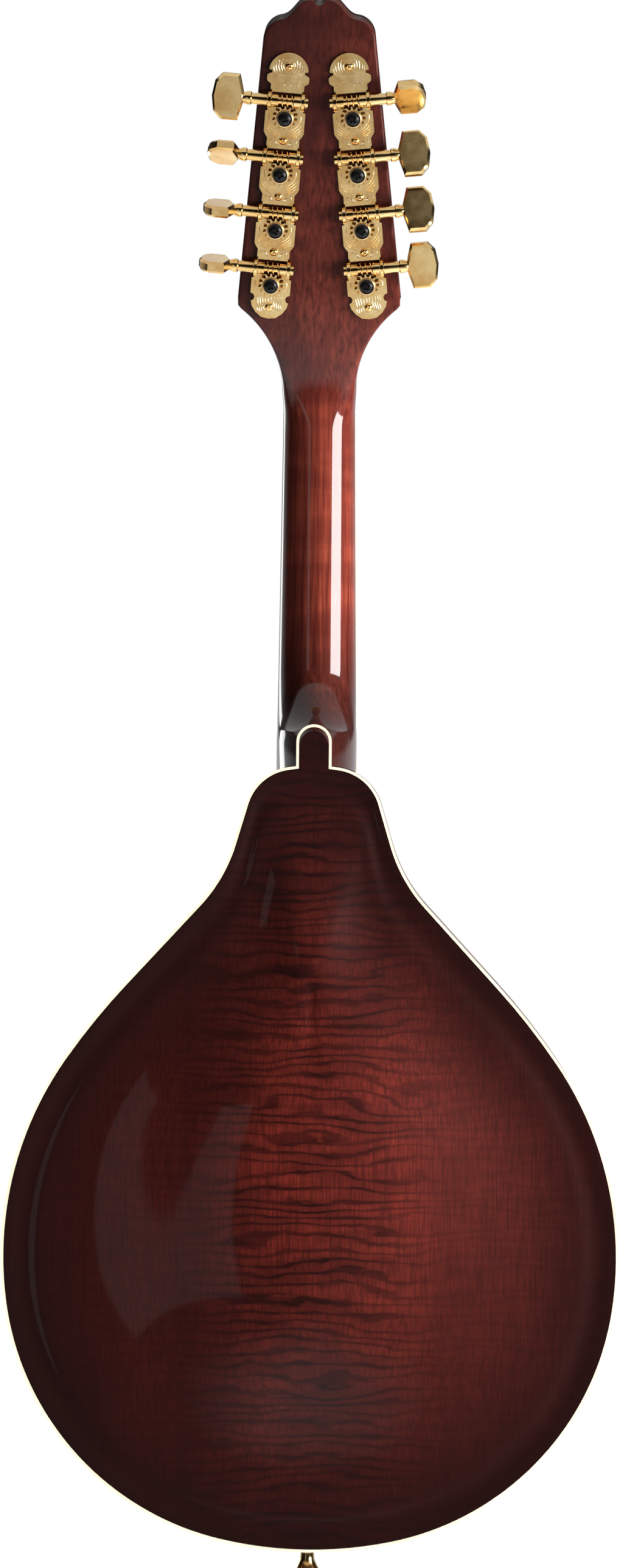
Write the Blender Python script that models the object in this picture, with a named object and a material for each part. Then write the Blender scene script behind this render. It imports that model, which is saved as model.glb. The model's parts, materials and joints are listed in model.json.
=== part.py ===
"""A-style mandolin: carved back and top, snakehead neck, four-in-line worm tuners.

Lengths are in metres. +Z runs up the neck, the strings face -Y and the carved back faces +Y.
The origin is on the back of the neck at the nut, where a wall hanger's yoke takes the head.
"""
import bpy
import bmesh
import math
from mathutils import Matrix, Vector
from mathutils.bvhtree import BVHTree

# Clearance between pieces that touch
SEAT_GAP = 0.0003

# Neck and head
SCALE_LENGTH = 0.352
FRET_COUNT = 20
NECK_FREE_LENGTH = 0.1583
HEAD_PITCH = math.radians(15.0)
NUT_WIDTH = 0.0300
NECK_WIDTH_AT_BODY = 0.0340
NECK_DEPTH_AT_NUT = 0.0138
NECK_DEPTH_AT_BODY = 0.0165
HEEL_SWEEP = 0.027
BOARD_THICKNESS = 0.0050
BOARD_RISE = 0.0040
NUT_LENGTH = 0.0045
NUT_HEIGHT_OVER_BOARD = 0.0013
FRET_WIDTH = 0.0016
FRET_HEIGHT = 0.0009
FRET_SEAT_DEPTH = 0.0003
FRET_END_SLOPE = 0.0007
BOARD_CHAMFER = 0.0006
BOARD_PAST_LAST_FRET = 0.0035

# Head plate, seen from behind
VENEER_THICKNESS = 0.0015
HEAD_SIDE_LOW = 0.0342
HEAD_SIDE_TAPER = math.radians(5.57)
HEAD_SHOULDER_HEIGHT = 0.0383
HEAD_CORNER_HEIGHT = 0.1553
HEAD_LOBE_HEIGHT = 0.1630
HEAD_NOTCH_HEIGHT = 0.1608
HEAD_LOBE_X = 0.0040
HEAD_CORNER_RADIUS = 0.0085
HEAD_FLARE_RADIUS = 0.045
HEAD_FLARE_START = 0.0008
HEAD_EDGE_ROUND = 0.0007
HEAD_EDGE_ROUND_AT_NUT = 0.0115
HEAD_EDGE_ROUND_FADE = 0.030

# Body outline from the tail up one side: arcs by radius and turn, straights by length
TAIL_ARC = (0.166, math.radians(12.5))
LOWER_BOUT_ARC = (0.1172, math.radians(69.3))
WAIST_ARC = (0.1435, math.radians(42.8))
UPPER_BOUT_ARC = (0.286, math.radians(8.0))
SLOPE_LENGTH = 0.0449
NECK_SIDE_ARC = (-0.0644, math.radians(26.0))
NECK_SIDE_LENGTH = 0.0176
SHOULDER_ARC = (0.0214, math.radians(65.8))

# Body depths
RIM_DEPTH = 0.0365
RIM_THICKNESS = 0.0022
PLATE_EDGE = 0.0040
PLATE_CENTRE_THICKNESS = 0.0050
PLATE_RECURVE_THICKNESS = 0.0032
BACK_ARCH = 0.0145
TOP_ARCH = 0.0135
RECURVE_DIP = 0.0007
RECURVE_WIDTH = 0.016
SPINE_TAIL_END = 0.118
SPINE_NECK_END = 0.236
BINDING_THICKNESS = 0.0011
LINING_WIDTH = 0.0060
LINING_HEIGHT = 0.0080
HEAD_BLOCK_LENGTH = 0.046
HEAD_BLOCK_WIDTH = 0.048
TAIL_BLOCK_LENGTH = 0.020
TAIL_BLOCK_WIDTH = 0.062
BUTTON_WIDTH = 0.0146
BUTTON_LENGTH = 0.0174
BUTTON_OVERLAP = 0.002
SOUNDHOLE_WIDTH = 0.057
SOUNDHOLE_LENGTH = 0.041
SOUNDHOLE_PAST_BOARD = 0.0030
BRACE_WIDTH = 0.0075
BRACE_HEIGHT = 0.0095
BRACE_BELOW_SOUNDHOLE = 0.013
BRACE_SHORT_OF_LINING = 0.004
BRACE_FITTING_BITE = 0.0006

# Bridge
BRIDGE_FOOT_LENGTH = 0.112
BRIDGE_FOOT_THICKNESS = 0.0100
BRIDGE_FOOT_HEIGHT = 0.0060
BRIDGE_FOOT_RELIEF = 0.046
BRIDGE_FOOT_LIFT = 0.0014
BRIDGE_FOOT_END_HEIGHT = 0.0030
BRIDGE_FOOT_BORE_DEPTH = 0.0050
BRIDGE_POST_SPACING = 0.066
BRIDGE_POST_RADIUS = 0.0019
SADDLE_LENGTH = 0.086
SADDLE_DROP = 0.0012
SADDLE_THICKNESS = 0.0070
SADDLE_CREST_THICKNESS = 0.0028
THUMBWHEEL_RADIUS = 0.0060
THUMBWHEEL_THICKNESS = 0.0022
THUMBWHEEL_BEVEL = 0.0004
STRINGS_OVER_BOARD_AT_BRIDGE = 0.0042
STRINGS_OVER_EDGE_AT_BRIDGE = 0.0300
SADDLE_ROOF = 0.0010
SADDLE_CREST_HEIGHT = 0.0016
SADDLE_CREST_FALL = 0.0034
SADDLE_FLAT_PAST_STRINGS = 0.0055

# Tailpiece and end pin
TAILPIECE_WIDTH = 0.033
TAILPIECE_LENGTH = 0.040
TAILPIECE_SHEET = 0.0012
TAILPIECE_APRON = 0.030
TAILPIECE_PITCH = math.radians(7.0)
HOOK_HEIGHT = 0.0040
HOOK_WIDTH = 0.0014
HOOK_FROM_END = 0.0050
HOOK_LENGTH = 0.0016
HOOK_LEAN = 0.0012
COVER_WIDTH = 0.043
COVER_LENGTH = 0.056
COVER_HEIGHT = 0.0085
COVER_WALL = 0.0009
COVER_SKIRT = 0.0004
COVER_BEHIND_TAIL = 0.0010
COVER_CORNER = 0.0040
PIN_NECK_RADIUS = 0.0028
PIN_HEAD_RADIUS = 0.0048
PIN_LENGTH = 0.0115
PIN_SHANK_LENGTH = 0.019

# Strings, from the bass side: radius of each course, and the spread at nut, bridge and tail
COURSE_RADII = (0.00052, 0.00044, 0.00028, 0.00022)
COURSE_SPREAD_AT_NUT = 0.0235
COURSE_SPREAD_AT_BRIDGE = 0.0375
COURSE_SPREAD_AT_TAIL = 0.0210
PAIR_SPACING = 0.0025
STRING_ON_HOOK = 0.0022
STRING_ON_POST = 0.0072
STRING_BEND = 0.0012

# Tuners: one plate down each side of the head
TUNER_PITCH = 0.0231
TUNER_COUNT = 4
TUNER_LOWEST_HEIGHT = 0.0468
TUNER_LOWEST_X = 0.0199
TUNER_TILT = math.radians(4.95)
PLATE_THICKNESS = 0.0011
PLATE_HALF_WIDTH = 0.0082
PLATE_WAIST_HALF_WIDTH = 0.0066
EAR_SPACING = 0.0137
EAR_THICKNESS = 0.0013
EAR_RADIUS = 0.0036
WORM_OFFSET = 0.0070
WORM_AXIS_HEIGHT = 0.0036
WORM_TIP_RADIUS = 0.0027
WORM_ROOT_RADIUS = 0.0016
WORM_PITCH_RADIUS = 0.0024
WORM_THREAD_TIP = 0.00045
WORM_THREAD_ROOT = 0.00100
GEAR_TEETH = 14
GEAR_TIP_RADIUS = 0.0051
GEAR_ROOT_RADIUS = 0.0039
GEAR_THICKNESS = 0.0022
GEAR_TOOTH_TIP = 0.00050
GEAR_TOOTH_ROOT = 0.00095
GEAR_HUB_RADIUS = 0.0034
GEAR_HUB_HEIGHT = 0.0007
SHAFT_RADIUS = 0.0015
SHAFT_END_RADIUS = 0.0022
SHAFT_END_LENGTH = 0.0014
SHAFT_BORE_CLEARANCE = 0.0003
SLEEVE_RADIUS = 0.0025
SLEEVE_FROM_MIDDLE = 0.0032
COLLAR_RADIUS = 0.0027
STEM_RADIUS = 0.0022
STEM_LENGTH = 0.0066
BEAD_RADIUS = 0.0028
BEAD_SHOULDER = 0.0004
BEAD_LENGTH = 0.0012
KEY_NECK_HALF_WIDTH = 0.0012
KEY_NECK_RADIUS = 0.0016
KEY_NECK_OVERLAP = 0.0020
WORM_SLOT_CLEARANCE = 0.0004
POST_RADIUS = 0.0030
POST_STANDOUT = 0.0140
POST_BORE_CLEARANCE = 0.0006
POST_WAIST_DEPTH = 0.0005
KEY_FROM_GEAR = 0.0172
KEY_LENGTH = 0.0132
KEY_WIDTH = 0.0187
KEY_THICKNESS = 0.0045
KEY_EDGE_BEVEL = 0.0009
# Turn of each key about its shaft as the photograph shows it, from the top of the head down
KEY_TURNS_LEFT = (0.0, -60.0, 90.0, 90.0)
KEY_TURNS_RIGHT = (-45.0, 28.0, 28.0, 0.0)

# Truss rod
ROD_RADIUS = 0.0020
ROD_NUT_RADIUS = 0.0030
ROD_NUT_LENGTH = 0.0080
ROD_POCKET_WIDTH = 0.0095
ROD_POCKET_LENGTH = 0.0200
ROD_POCKET_DEPTH = 0.0085
ROD_SHORT_OF_BODY = 0.0083
ROD_UNDER_BOARD = 0.0022
ROD_PAST_NUT = 0.0030
POCKET_FROM_NUT_EDGE = 0.0012
WINDOW_FROM_NUT_EDGE = 0.0030
COVER_PLATE_FROM_NUT_EDGE = 0.0016
COVER_PLATE_LENGTH = 0.034
COVER_PLATE_WIDTH = 0.0175
COVER_PLATE_THICKNESS = 0.0014

# Fineness of curves
ARC_STEP = math.radians(12.0)
HOLE_SIDES = 8
SHAFT_SIDES = 8


def clear_scene():
    for obj in list(bpy.data.objects):
        bpy.data.objects.remove(obj, do_unlink=True)


def material(name, colour, roughness, metallic=0.0):
    found = bpy.data.materials.get(name)
    if found:
        return found
    made = bpy.data.materials.new(name)
    made.use_nodes = True
    shader = made.node_tree.nodes["Principled BSDF"]
    shader.inputs["Base Color"].default_value = (*colour, 1.0)
    shader.inputs["Roughness"].default_value = roughness
    shader.inputs["Metallic"].default_value = metallic
    return made


def wine_maple():
    return material("wine_maple", (0.16, 0.020, 0.010), 0.15)


def wine_spruce():
    return material("wine_spruce", (0.22, 0.045, 0.015), 0.18)


def bare_spruce():
    return material("bare_spruce", (0.62, 0.42, 0.22), 0.6)


def cream_binding():
    return material("cream_binding", (0.83, 0.74, 0.52), 0.3)


def dark_wood():
    return material("dark_wood", (0.030, 0.016, 0.010), 0.4)


def black_veneer():
    return material("black_veneer", (0.012, 0.011, 0.011), 0.2)


def gold_metal():
    return material("gold_metal", (0.85, 0.58, 0.20), 0.18, 1.0)


def nickel_steel():
    return material("nickel_steel", (0.62, 0.60, 0.56), 0.25, 1.0)


def bone():
    return material("bone", (0.86, 0.82, 0.70), 0.35)


def skin(bm, loops, closed=True, caps=True):
    """Join loops of equal length with quads, closing each loop and both ends when asked."""
    rows = [[bm.verts.new(point) for point in loop] for loop in loops]
    count = len(rows[0])
    steps = count if closed else count - 1
    for low, high in zip(rows, rows[1:]):
        for i in range(steps):
            j = (i + 1) % count
            bm.faces.new((low[i], low[j], high[j], high[i]))
    if caps:
        bm.faces.new(list(reversed(rows[0])))
        bm.faces.new(rows[-1])
    return rows


def finish(name, bm, look, frame=None, smooth_angle=35.0):
    """Turn a bmesh into a named object whose mesh is local to its frame."""
    bmesh.ops.recalc_face_normals(bm, faces=bm.faces[:])
    mesh = bpy.data.meshes.new(name)
    bm.to_mesh(mesh)
    bm.free()
    mesh.shade_smooth()
    mesh.set_sharp_from_angle(angle=math.radians(smooth_angle))
    obj = bpy.data.objects.new(name, mesh)
    bpy.context.collection.objects.link(obj)
    if look:
        mesh.materials.append(look)
    obj.matrix_world = frame or Matrix.Identity(4)
    return obj


def cutter(name, bm, frame=None):
    obj = finish(name, bm, None, frame)
    obj.hide_render = True
    obj.display_type = "WIRE"
    return obj


def boolean(obj, tool, operation="DIFFERENCE"):
    change = obj.modifiers.new(tool.name, "BOOLEAN")
    change.operation = operation
    change.solver = "EXACT"
    change.object = tool


def ring(radius, height, sides, axis="Z", centre=(0.0, 0.0), turn=0.0):
    """A round loop about an axis, at a height along it."""
    loop = []
    for i in range(sides):
        angle = turn + 2.0 * math.pi * i / sides
        a = centre[0] + radius * math.cos(angle)
        b = centre[1] + radius * math.sin(angle)
        if axis == "Z":
            loop.append(Vector((a, b, height)))
        elif axis == "Y":
            loop.append(Vector((a, height, b)))
        else:
            loop.append(Vector((height, a, b)))
    return loop


def turned(bm, profile, sides, axis="Z", centre=(0.0, 0.0), turn=0.0):
    """A turned solid from (radius, height) pairs."""
    loops = [ring(radius, height, sides, axis, centre, turn) for radius, height in profile]
    skin(bm, loops)


def prism(bm, outline, low, high, axis="Y"):
    """An outline of (a, b) pairs pushed along an axis: a, b are X, Z for axis Y."""
    def place(a, b, depth):
        if axis == "Y":
            return Vector((a, depth, b))
        if axis == "X":
            return Vector((depth, a, b))
        return Vector((a, b, depth))
    skin(bm, [[place(a, b, low) for a, b in outline], [place(a, b, high) for a, b in outline]])


def box(bm, low, high):
    corners = [(low[0], low[1]), (high[0], low[1]), (high[0], high[1]), (low[0], high[1])]
    prism(bm, corners, low[2], high[2], "Z")


def arc_points(centre, radius, start, end, steps):
    """Points on an arc of the plane, both ends included."""
    points = []
    for i in range(steps + 1):
        angle = start + (end - start) * i / steps
        points.append((centre[0] + radius * math.cos(angle), centre[1] + radius * math.sin(angle)))
    return points


def offset_loop(points, distance):
    """A closed outline moved inwards by a distance, with mitred corners."""
    moved = []
    count = len(points)
    for i in range(count):
        before = Vector(points[i - 1])
        here = Vector(points[i])
        after = Vector(points[(i + 1) % count])
        first = (here - before).normalized()
        second = (after - here).normalized()
        normal_a = Vector((-first.y, first.x))
        normal_b = Vector((-second.y, second.x))
        mitre = (normal_a + normal_b).normalized()
        shift = distance / max(mitre.dot(normal_a), 0.3)
        moved.append(tuple(here + mitre * shift))
    return moved


def fret_height(number):
    """Distance of a fret from the nut."""
    return SCALE_LENGTH * (1.0 - 2.0 ** (-number / 12.0))


# The neck leans back so that the strings pass the bridge at their height over the top's edge
BOARD_END_FROM_NUT = fret_height(FRET_COUNT) + BOARD_PAST_LAST_FRET
SOUNDHOLE_FROM_NUT = BOARD_END_FROM_NUT + SOUNDHOLE_PAST_BOARD + SOUNDHOLE_LENGTH / 2.0
ROD_LENGTH = NECK_FREE_LENGTH - ROD_SHORT_OF_BODY
NECK_PITCH = math.asin((STRINGS_OVER_EDGE_AT_BRIDGE - BOARD_RISE - BOARD_THICKNESS - STRINGS_OVER_BOARD_AT_BRIDGE)
                       / (SCALE_LENGTH - NECK_FREE_LENGTH))

# The neck's frame follows the fingerboard and the head's frame follows the head
NECK_FRAME = Matrix.Rotation(-NECK_PITCH, 4, "X")
HEAD_FRAME = Matrix.Rotation(-NECK_PITCH - HEAD_PITCH, 4, "X")
BOARD_UNDER = -NECK_DEPTH_AT_NUT
BOARD_TOP = BOARD_UNDER - BOARD_THICKNESS
NUT_SEAT_LENGTH = NUT_LENGTH + 2.0 * SEAT_GAP
HEAD_FACE = -(NECK_DEPTH_AT_NUT * math.cos(HEAD_PITCH) + NUT_SEAT_LENGTH * math.sin(HEAD_PITCH))
VENEER_FACE = HEAD_FACE - SEAT_GAP - VENEER_THICKNESS
HEAD_FACE_START = (NUT_SEAT_LENGTH + HEAD_FACE * math.sin(HEAD_PITCH)) / math.cos(HEAD_PITCH)


def from_neck(x, depth, height):
    """World point of a place on the neck: depth grows towards the back, height towards the head."""
    return NECK_FRAME @ Vector((x, depth, height))


# The truss rod runs under the board and ends in its pocket in the head
ROD_DEPTH = BOARD_UNDER + ROD_RADIUS + ROD_UNDER_BOARD
ROD_END = NUT_SEAT_LENGTH + ROD_PAST_NUT

# Where the body lies: its shoulder ends the free length of the neck
SHOULDER_POINT = from_neck(0.0, BOARD_UNDER, -NECK_FREE_LENGTH)
SHOULDER_Z = SHOULDER_POINT.z
FRONT_EDGE_Y = SHOULDER_POINT.y + BOARD_RISE
RIM_FRONT_Y = FRONT_EDGE_Y + PLATE_EDGE
RIM_BACK_Y = RIM_FRONT_Y + RIM_DEPTH
BACK_EDGE_Y = RIM_BACK_Y + PLATE_EDGE
RIM_MID_Y = (RIM_FRONT_Y + RIM_BACK_Y) / 2.0


def half_outline():
    """One side of the body from the tail to the heel button, x outwards and z up from the tail."""
    x = 0.0
    z = 0.0
    heading = 0.0
    points = [(x, z)]
    pieces = [TAIL_ARC, LOWER_BOUT_ARC, WAIST_ARC, UPPER_BOUT_ARC, SLOPE_LENGTH,
              NECK_SIDE_ARC, NECK_SIDE_LENGTH, SHOULDER_ARC]
    for piece in pieces:
        if isinstance(piece, float):
            x += piece * math.cos(heading)
            z += piece * math.sin(heading)
            points.append((x, z))
            continue
        radius, sweep = piece
        steps = max(2, round(sweep / ARC_STEP))
        turn = math.copysign(sweep / steps, radius)
        chord = 2.0 * abs(radius) * math.sin(sweep / steps / 2.0)
        for _ in range(steps):
            x += chord * math.cos(heading + turn / 2.0)
            z += chord * math.sin(heading + turn / 2.0)
            heading += turn
            points.append((x, z))
    reach = (BUTTON_WIDTH / 2.0 - x) / math.cos(heading)
    points.append((BUTTON_WIDTH / 2.0, z + reach * math.sin(heading)))
    return points


HALF_OUTLINE = half_outline()
BODY_LENGTH = HALF_OUTLINE[-1][1]
TAIL_Z = SHOULDER_Z - BODY_LENGTH


def body_outline():
    """The closed outline in world X and Z, without the heel button, run anticlockwise."""
    right = [(x, z + TAIL_Z) for x, z in HALF_OUTLINE]
    left = [(-x, z) for x, z in reversed(right[1:])]
    return right + left


def button_outline(half_width, overlap=0.0):
    """The tongue of the back over the heel, with a round end."""
    centre = (0.0, SHOULDER_Z + BUTTON_LENGTH - BUTTON_WIDTH / 2.0)
    return [(half_width, SHOULDER_Z - overlap)] + arc_points(centre, half_width, 0.0, math.pi, 10) + \
        [(-half_width, SHOULDER_Z - overlap)]


def back_outline():
    """The closed outline of the back with its heel button."""
    right = [(x, z + TAIL_Z) for x, z in HALF_OUTLINE]
    left = [(-x, z) for x, z in reversed(right[1:])]
    return right + button_outline(BUTTON_WIDTH / 2.0)[1:-1] + left


def spine_point(z):
    """The crest of the carving that an edge point at this height rises to."""
    share = (z - TAIL_Z) / BODY_LENGTH
    return (0.0, TAIL_Z + SPINE_TAIL_END + share * (SPINE_NECK_END - SPINE_TAIL_END))


def arch_height(distance, reach, along, arch):
    """Height of the carved arch over the plate's edge, at a distance in from that edge."""
    if distance <= RECURVE_WIDTH:
        return -RECURVE_DIP * math.sin(math.pi * distance / RECURVE_WIDTH)
    share = (distance - RECURVE_WIDTH) / max(reach - RECURVE_WIDTH, 0.001)
    middle = TAIL_Z + (SPINE_TAIL_END + SPINE_NECK_END) / 2.0
    half = (SPINE_NECK_END - SPINE_TAIL_END) / 2.0
    fall = 1.0 - 0.22 * max((along - middle) / half, 0.0) ** 2
    return arch * fall * (0.5 - 0.5 * math.cos(math.pi * min(share, 1.0)))


def arched_plate(bm, outline, edge_y, outward, arch):
    """A carved plate: outer arch, inner arch and a flat glued edge. outward is +1 for the back."""
    outer_rings = []
    inner_rings = []
    glue = LINING_WIDTH + RIM_THICKNESS
    near = [0.0, 0.45, 1.0]
    far = [0.18, 0.38, 0.58, 0.78, 1.0]

    def place(point, distance, height):
        spine = Vector(spine_point(point[1]))
        edge = Vector(point)
        reach = (spine - edge).length
        spot = edge + (spine - edge) * min(distance / reach, 1.0)
        return Vector((spot.x, edge_y + outward * height, spot.y))

    def reach_of(point):
        return (Vector(spine_point(point[1])) - Vector(point)).length

    for share in near:
        distance = share * RECURVE_WIDTH
        outer_rings.append([place(p, distance, arch_height(distance, 1.0, 0.0, arch))
                            for p in outline])
    for share in far:
        loop = []
        for p in outline:
            reach = reach_of(p)
            distance = RECURVE_WIDTH + share * (reach - RECURVE_WIDTH)
            along = spine_point(p[1])[1]
            loop.append(place(p, distance, arch_height(distance, reach, along, arch)))
        outer_rings.append(loop)
    inner_rings.append([place(p, 0.0, SEAT_GAP - PLATE_EDGE) for p in outline])
    inner_rings.append([place(p, glue, SEAT_GAP - PLATE_EDGE) for p in outline])
    for share in (0.33, 0.66, 1.0):
        loop = []
        for p in outline:
            reach = reach_of(p)
            distance = glue + share * (reach - glue)
            along = spine_point(p[1])[1]
            wood = PLATE_RECURVE_THICKNESS + share * (PLATE_CENTRE_THICKNESS - PLATE_RECURVE_THICKNESS)
            loop.append(place(p, distance, arch_height(distance, reach, along, arch) - wood))
        inner_rings.append(loop)
    skin(bm, list(reversed(outer_rings)) + inner_rings, caps=False)
    bmesh.ops.remove_doubles(bm, verts=bm.verts[:], dist=0.00002)


def outline_band(bm, outer, inner, low, high):
    """A closed band between two outlines of as many points."""
    loops = [[Vector((x, y, z)) for x, z in line]
             for line, y in ((outer, low), (outer, high), (inner, high), (inner, low), (outer, low))]
    rows = skin(bm, loops, caps=False)
    bmesh.ops.remove_doubles(bm, verts=rows[0] + rows[-1], dist=0.00001)


def clip_outline(points, side, limit, keep_below):
    """The part of a closed outline on one side of a line: side 0 cuts on X, 1 on Z."""
    def kept(p):
        return p[side] <= limit if keep_below else p[side] >= limit
    result = []
    for i, here in enumerate(points):
        before = points[i - 1]
        if kept(here) != kept(before):
            share = (limit - before[side]) / (here[side] - before[side])
            result.append(tuple(before[k] + share * (here[k] - before[k]) for k in (0, 1)))
        if kept(here):
            result.append(here)
    return result


def body_prism(name, growth, front, back):
    """A straight-sided body outline for cutting what meets the body."""
    bm = bmesh.new()
    prism(bm, offset_loop(body_outline(), -growth), front, back)
    return cutter(name, bm)


def plate_outline():
    return offset_loop(body_outline(), BINDING_THICKNESS + SEAT_GAP)


def make_back_plate():
    bm = bmesh.new()
    arched_plate(bm, plate_outline(), BACK_EDGE_Y, 1.0, BACK_ARCH)
    plate = finish("back_plate", bm, wine_maple())
    bm = bmesh.new()
    tongue = button_outline(BUTTON_WIDTH / 2.0 - BINDING_THICKNESS - SEAT_GAP, BINDING_THICKNESS + BUTTON_OVERLAP)
    tongue = [(x, z - (BINDING_THICKNESS + SEAT_GAP if z > SHOULDER_Z else 0.0)) for x, z in tongue]
    prism(bm, tongue, RIM_BACK_Y + SEAT_GAP, BACK_EDGE_Y)
    boolean(plate, cutter("heel_button", bm), "UNION")


def soundhole_centre_z():
    return from_neck(0.0, BOARD_TOP, -SOUNDHOLE_FROM_NUT).z


def make_top_plate():
    """The top plate; returns a ray tree of its arches for what rests on it."""
    bm = bmesh.new()
    arched_plate(bm, plate_outline(), FRONT_EDGE_Y, -1.0, TOP_ARCH)
    tree = BVHTree.FromBMesh(bm)
    plate = finish("top_plate", bm, wine_spruce())
    bm = bmesh.new()
    oval = [(SOUNDHOLE_WIDTH / 2.0 * math.cos(a), soundhole_centre_z() + SOUNDHOLE_LENGTH / 2.0 * math.sin(a))
            for a in (2.0 * math.pi * i / 32 for i in range(32))]
    prism(bm, oval, FRONT_EDGE_Y - 0.04, FRONT_EDGE_Y + 0.02)
    boolean(plate, cutter("soundhole", bm))
    return tree


def top_seat(name, shift=-SEAT_GAP):
    """The top's arches moved by the seat gap, for fitting what stands on them or under them."""
    bm = bmesh.new()
    arched_plate(bm, plate_outline(), FRONT_EDGE_Y + shift, -1.0, TOP_ARCH)
    return cutter(name, bm)


def outer_top_y(tree, x, z):
    """Where the front of the top lies at a place; the binding's level past its edge."""
    hit = tree.ray_cast(Vector((x, FRONT_EDGE_Y - 0.1, z)), Vector((0.0, 1.0, 0.0)))[0]
    return hit.y if hit else FRONT_EDGE_Y


def inner_top_y(tree, x, z):
    hit = tree.ray_cast(Vector((x, RIM_MID_Y, z)), Vector((0.0, -1.0, 0.0)))[0]
    return hit.y if hit else RIM_FRONT_Y


def make_bindings():
    bm = bmesh.new()
    outer = back_outline()
    outline_band(bm, outer, offset_loop(outer, BINDING_THICKNESS), RIM_BACK_Y + SEAT_GAP, BACK_EDGE_Y)
    finish("back_binding", bm, cream_binding())
    bm = bmesh.new()
    outer = body_outline()
    outline_band(bm, outer, offset_loop(outer, BINDING_THICKNESS), FRONT_EDGE_Y, RIM_FRONT_Y - SEAT_GAP)
    finish("top_binding", bm, cream_binding())


def pin_bore(name, radius):
    """A bore along Z for the end pin, through the tail."""
    bm = bmesh.new()
    turned(bm, [(radius, TAIL_Z - 0.004), (radius, TAIL_Z + RIM_THICKNESS + TAIL_BLOCK_LENGTH + 0.004)],
           HOLE_SIDES, "Z", (0.0, RIM_MID_Y))
    return cutter(name, bm)


def make_rim():
    bm = bmesh.new()
    outer = body_outline()
    outline_band(bm, outer, offset_loop(outer, RIM_THICKNESS), RIM_FRONT_Y, RIM_BACK_Y)
    rim = finish("rim", bm, wine_maple())
    boolean(rim, pin_bore("rim_pin_bore", PIN_NECK_RADIUS + SEAT_GAP))


def make_blocks():
    inner = offset_loop(body_outline(), RIM_THICKNESS + SEAT_GAP)
    tail = clip_outline(inner, 1, TAIL_Z + RIM_THICKNESS + TAIL_BLOCK_LENGTH, True)
    tail = clip_outline(clip_outline(tail, 0, TAIL_BLOCK_WIDTH / 2.0, True), 0, -TAIL_BLOCK_WIDTH / 2.0, False)
    bm = bmesh.new()
    prism(bm, tail, RIM_FRONT_Y + SEAT_GAP, RIM_BACK_Y - SEAT_GAP)
    block = finish("tail_block", bm, bare_spruce())
    boolean(block, pin_bore("block_pin_bore", PIN_NECK_RADIUS + SEAT_GAP))
    head = clip_outline(inner, 1, SHOULDER_Z - RIM_THICKNESS - HEAD_BLOCK_LENGTH, False)
    head = clip_outline(clip_outline(head, 0, HEAD_BLOCK_WIDTH / 2.0, True), 0, -HEAD_BLOCK_WIDTH / 2.0, False)
    bm = bmesh.new()
    prism(bm, head, RIM_FRONT_Y + SEAT_GAP, RIM_BACK_Y - SEAT_GAP)
    finish("head_block", bm, bare_spruce())


def make_linings():
    """Four strips between rim and plates, from block to block on each side."""
    outer = offset_loop(body_outline(), RIM_THICKNESS + SEAT_GAP)
    inner = offset_loop(body_outline(), RIM_THICKNESS + LINING_WIDTH)
    block_end = SHOULDER_Z - RIM_THICKNESS - HEAD_BLOCK_LENGTH - 0.002
    kept = [i for i, (x, z) in enumerate(outer) if x > TAIL_BLOCK_WIDTH / 2.0 + 0.001 and z < block_end]
    levels = (("back", RIM_BACK_Y - LINING_HEIGHT, RIM_BACK_Y - SEAT_GAP),
              ("front", RIM_FRONT_Y + SEAT_GAP, RIM_FRONT_Y + LINING_HEIGHT))
    for level, low, high in levels:
        for side, sign in (("treble", 1.0), ("bass", -1.0)):
            bm = bmesh.new()
            loops = []
            for i in kept:
                corners = ((outer[i], low), (outer[i], high), (inner[i], high), (inner[i], low))
                loops.append([Vector((sign * p[0], y, p[1])) for p, y in corners])
            skin(bm, loops)
            finish(f"{level}_lining_{side}", bm, bare_spruce())


def make_brace(tree):
    """One bar across the inside of the top, below the soundhole."""
    z = soundhole_centre_z() - SOUNDHOLE_LENGTH / 2.0 - BRACE_BELOW_SOUNDHOLE
    half = interior_half_width(z) - BRACE_SHORT_OF_LINING
    bm = bmesh.new()
    loops = []
    for i in range(9):
        share = -1.0 + i / 4.0
        x = half * share
        height = BRACE_HEIGHT * (0.35 + 0.65 * math.sqrt(max(1.0 - share ** 4, 0.0)))
        loop = []
        for side in (-1.0, 1.0):
            place = z + side * BRACE_WIDTH / 2.0
            seat = max(inner_top_y(tree, x, z + k * BRACE_WIDTH / 2.0) for k in (-1.0, 0.0, 1.0))
            pair = [Vector((x, seat - BRACE_FITTING_BITE, place)), Vector((x, seat + height, place))]
            loop += pair if side < 0 else list(reversed(pair))
        loops.append(loop)
    skin(bm, loops)
    brace = finish("top_brace", bm, bare_spruce())
    boolean(brace, top_seat("brace_seat", SEAT_GAP))


def interior_half_width(z):
    """Half the clear width inside the linings at a height."""
    inner = offset_loop(body_outline(), RIM_THICKNESS + LINING_WIDTH)
    cut = clip_outline(inner, 1, z, True)
    return max(p[0] for p in cut if abs(p[1] - z) < 1e-6)


def board_half_width(height):
    """The fingerboard's half width at a height under the nut, which is negative."""
    share = -height / NECK_FREE_LENGTH
    return (NUT_WIDTH + share * (NECK_WIDTH_AT_BODY - NUT_WIDTH)) / 2.0


def neck_section(half_width, depth, back_half_width, height, fullness):
    """A loop across the neck: flat under the board, round or heel-shaped behind."""
    steps = 10
    loop = []
    for j in range(steps + 1):
        angle = math.pi * j / steps
        sine = math.sin(angle)
        reach = back_half_width + (half_width - back_half_width) * (1.0 - sine ** 1.4)
        round_x = half_width * math.cos(angle)
        heel_x = reach * math.copysign(abs(math.cos(angle)) ** 0.55, math.cos(angle))
        x = round_x + fullness * (heel_x - round_x)
        power = 0.85 - 0.35 * fullness
        loop.append(Vector((x, BOARD_UNDER + depth * sine ** power, height)))
    return loop


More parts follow.
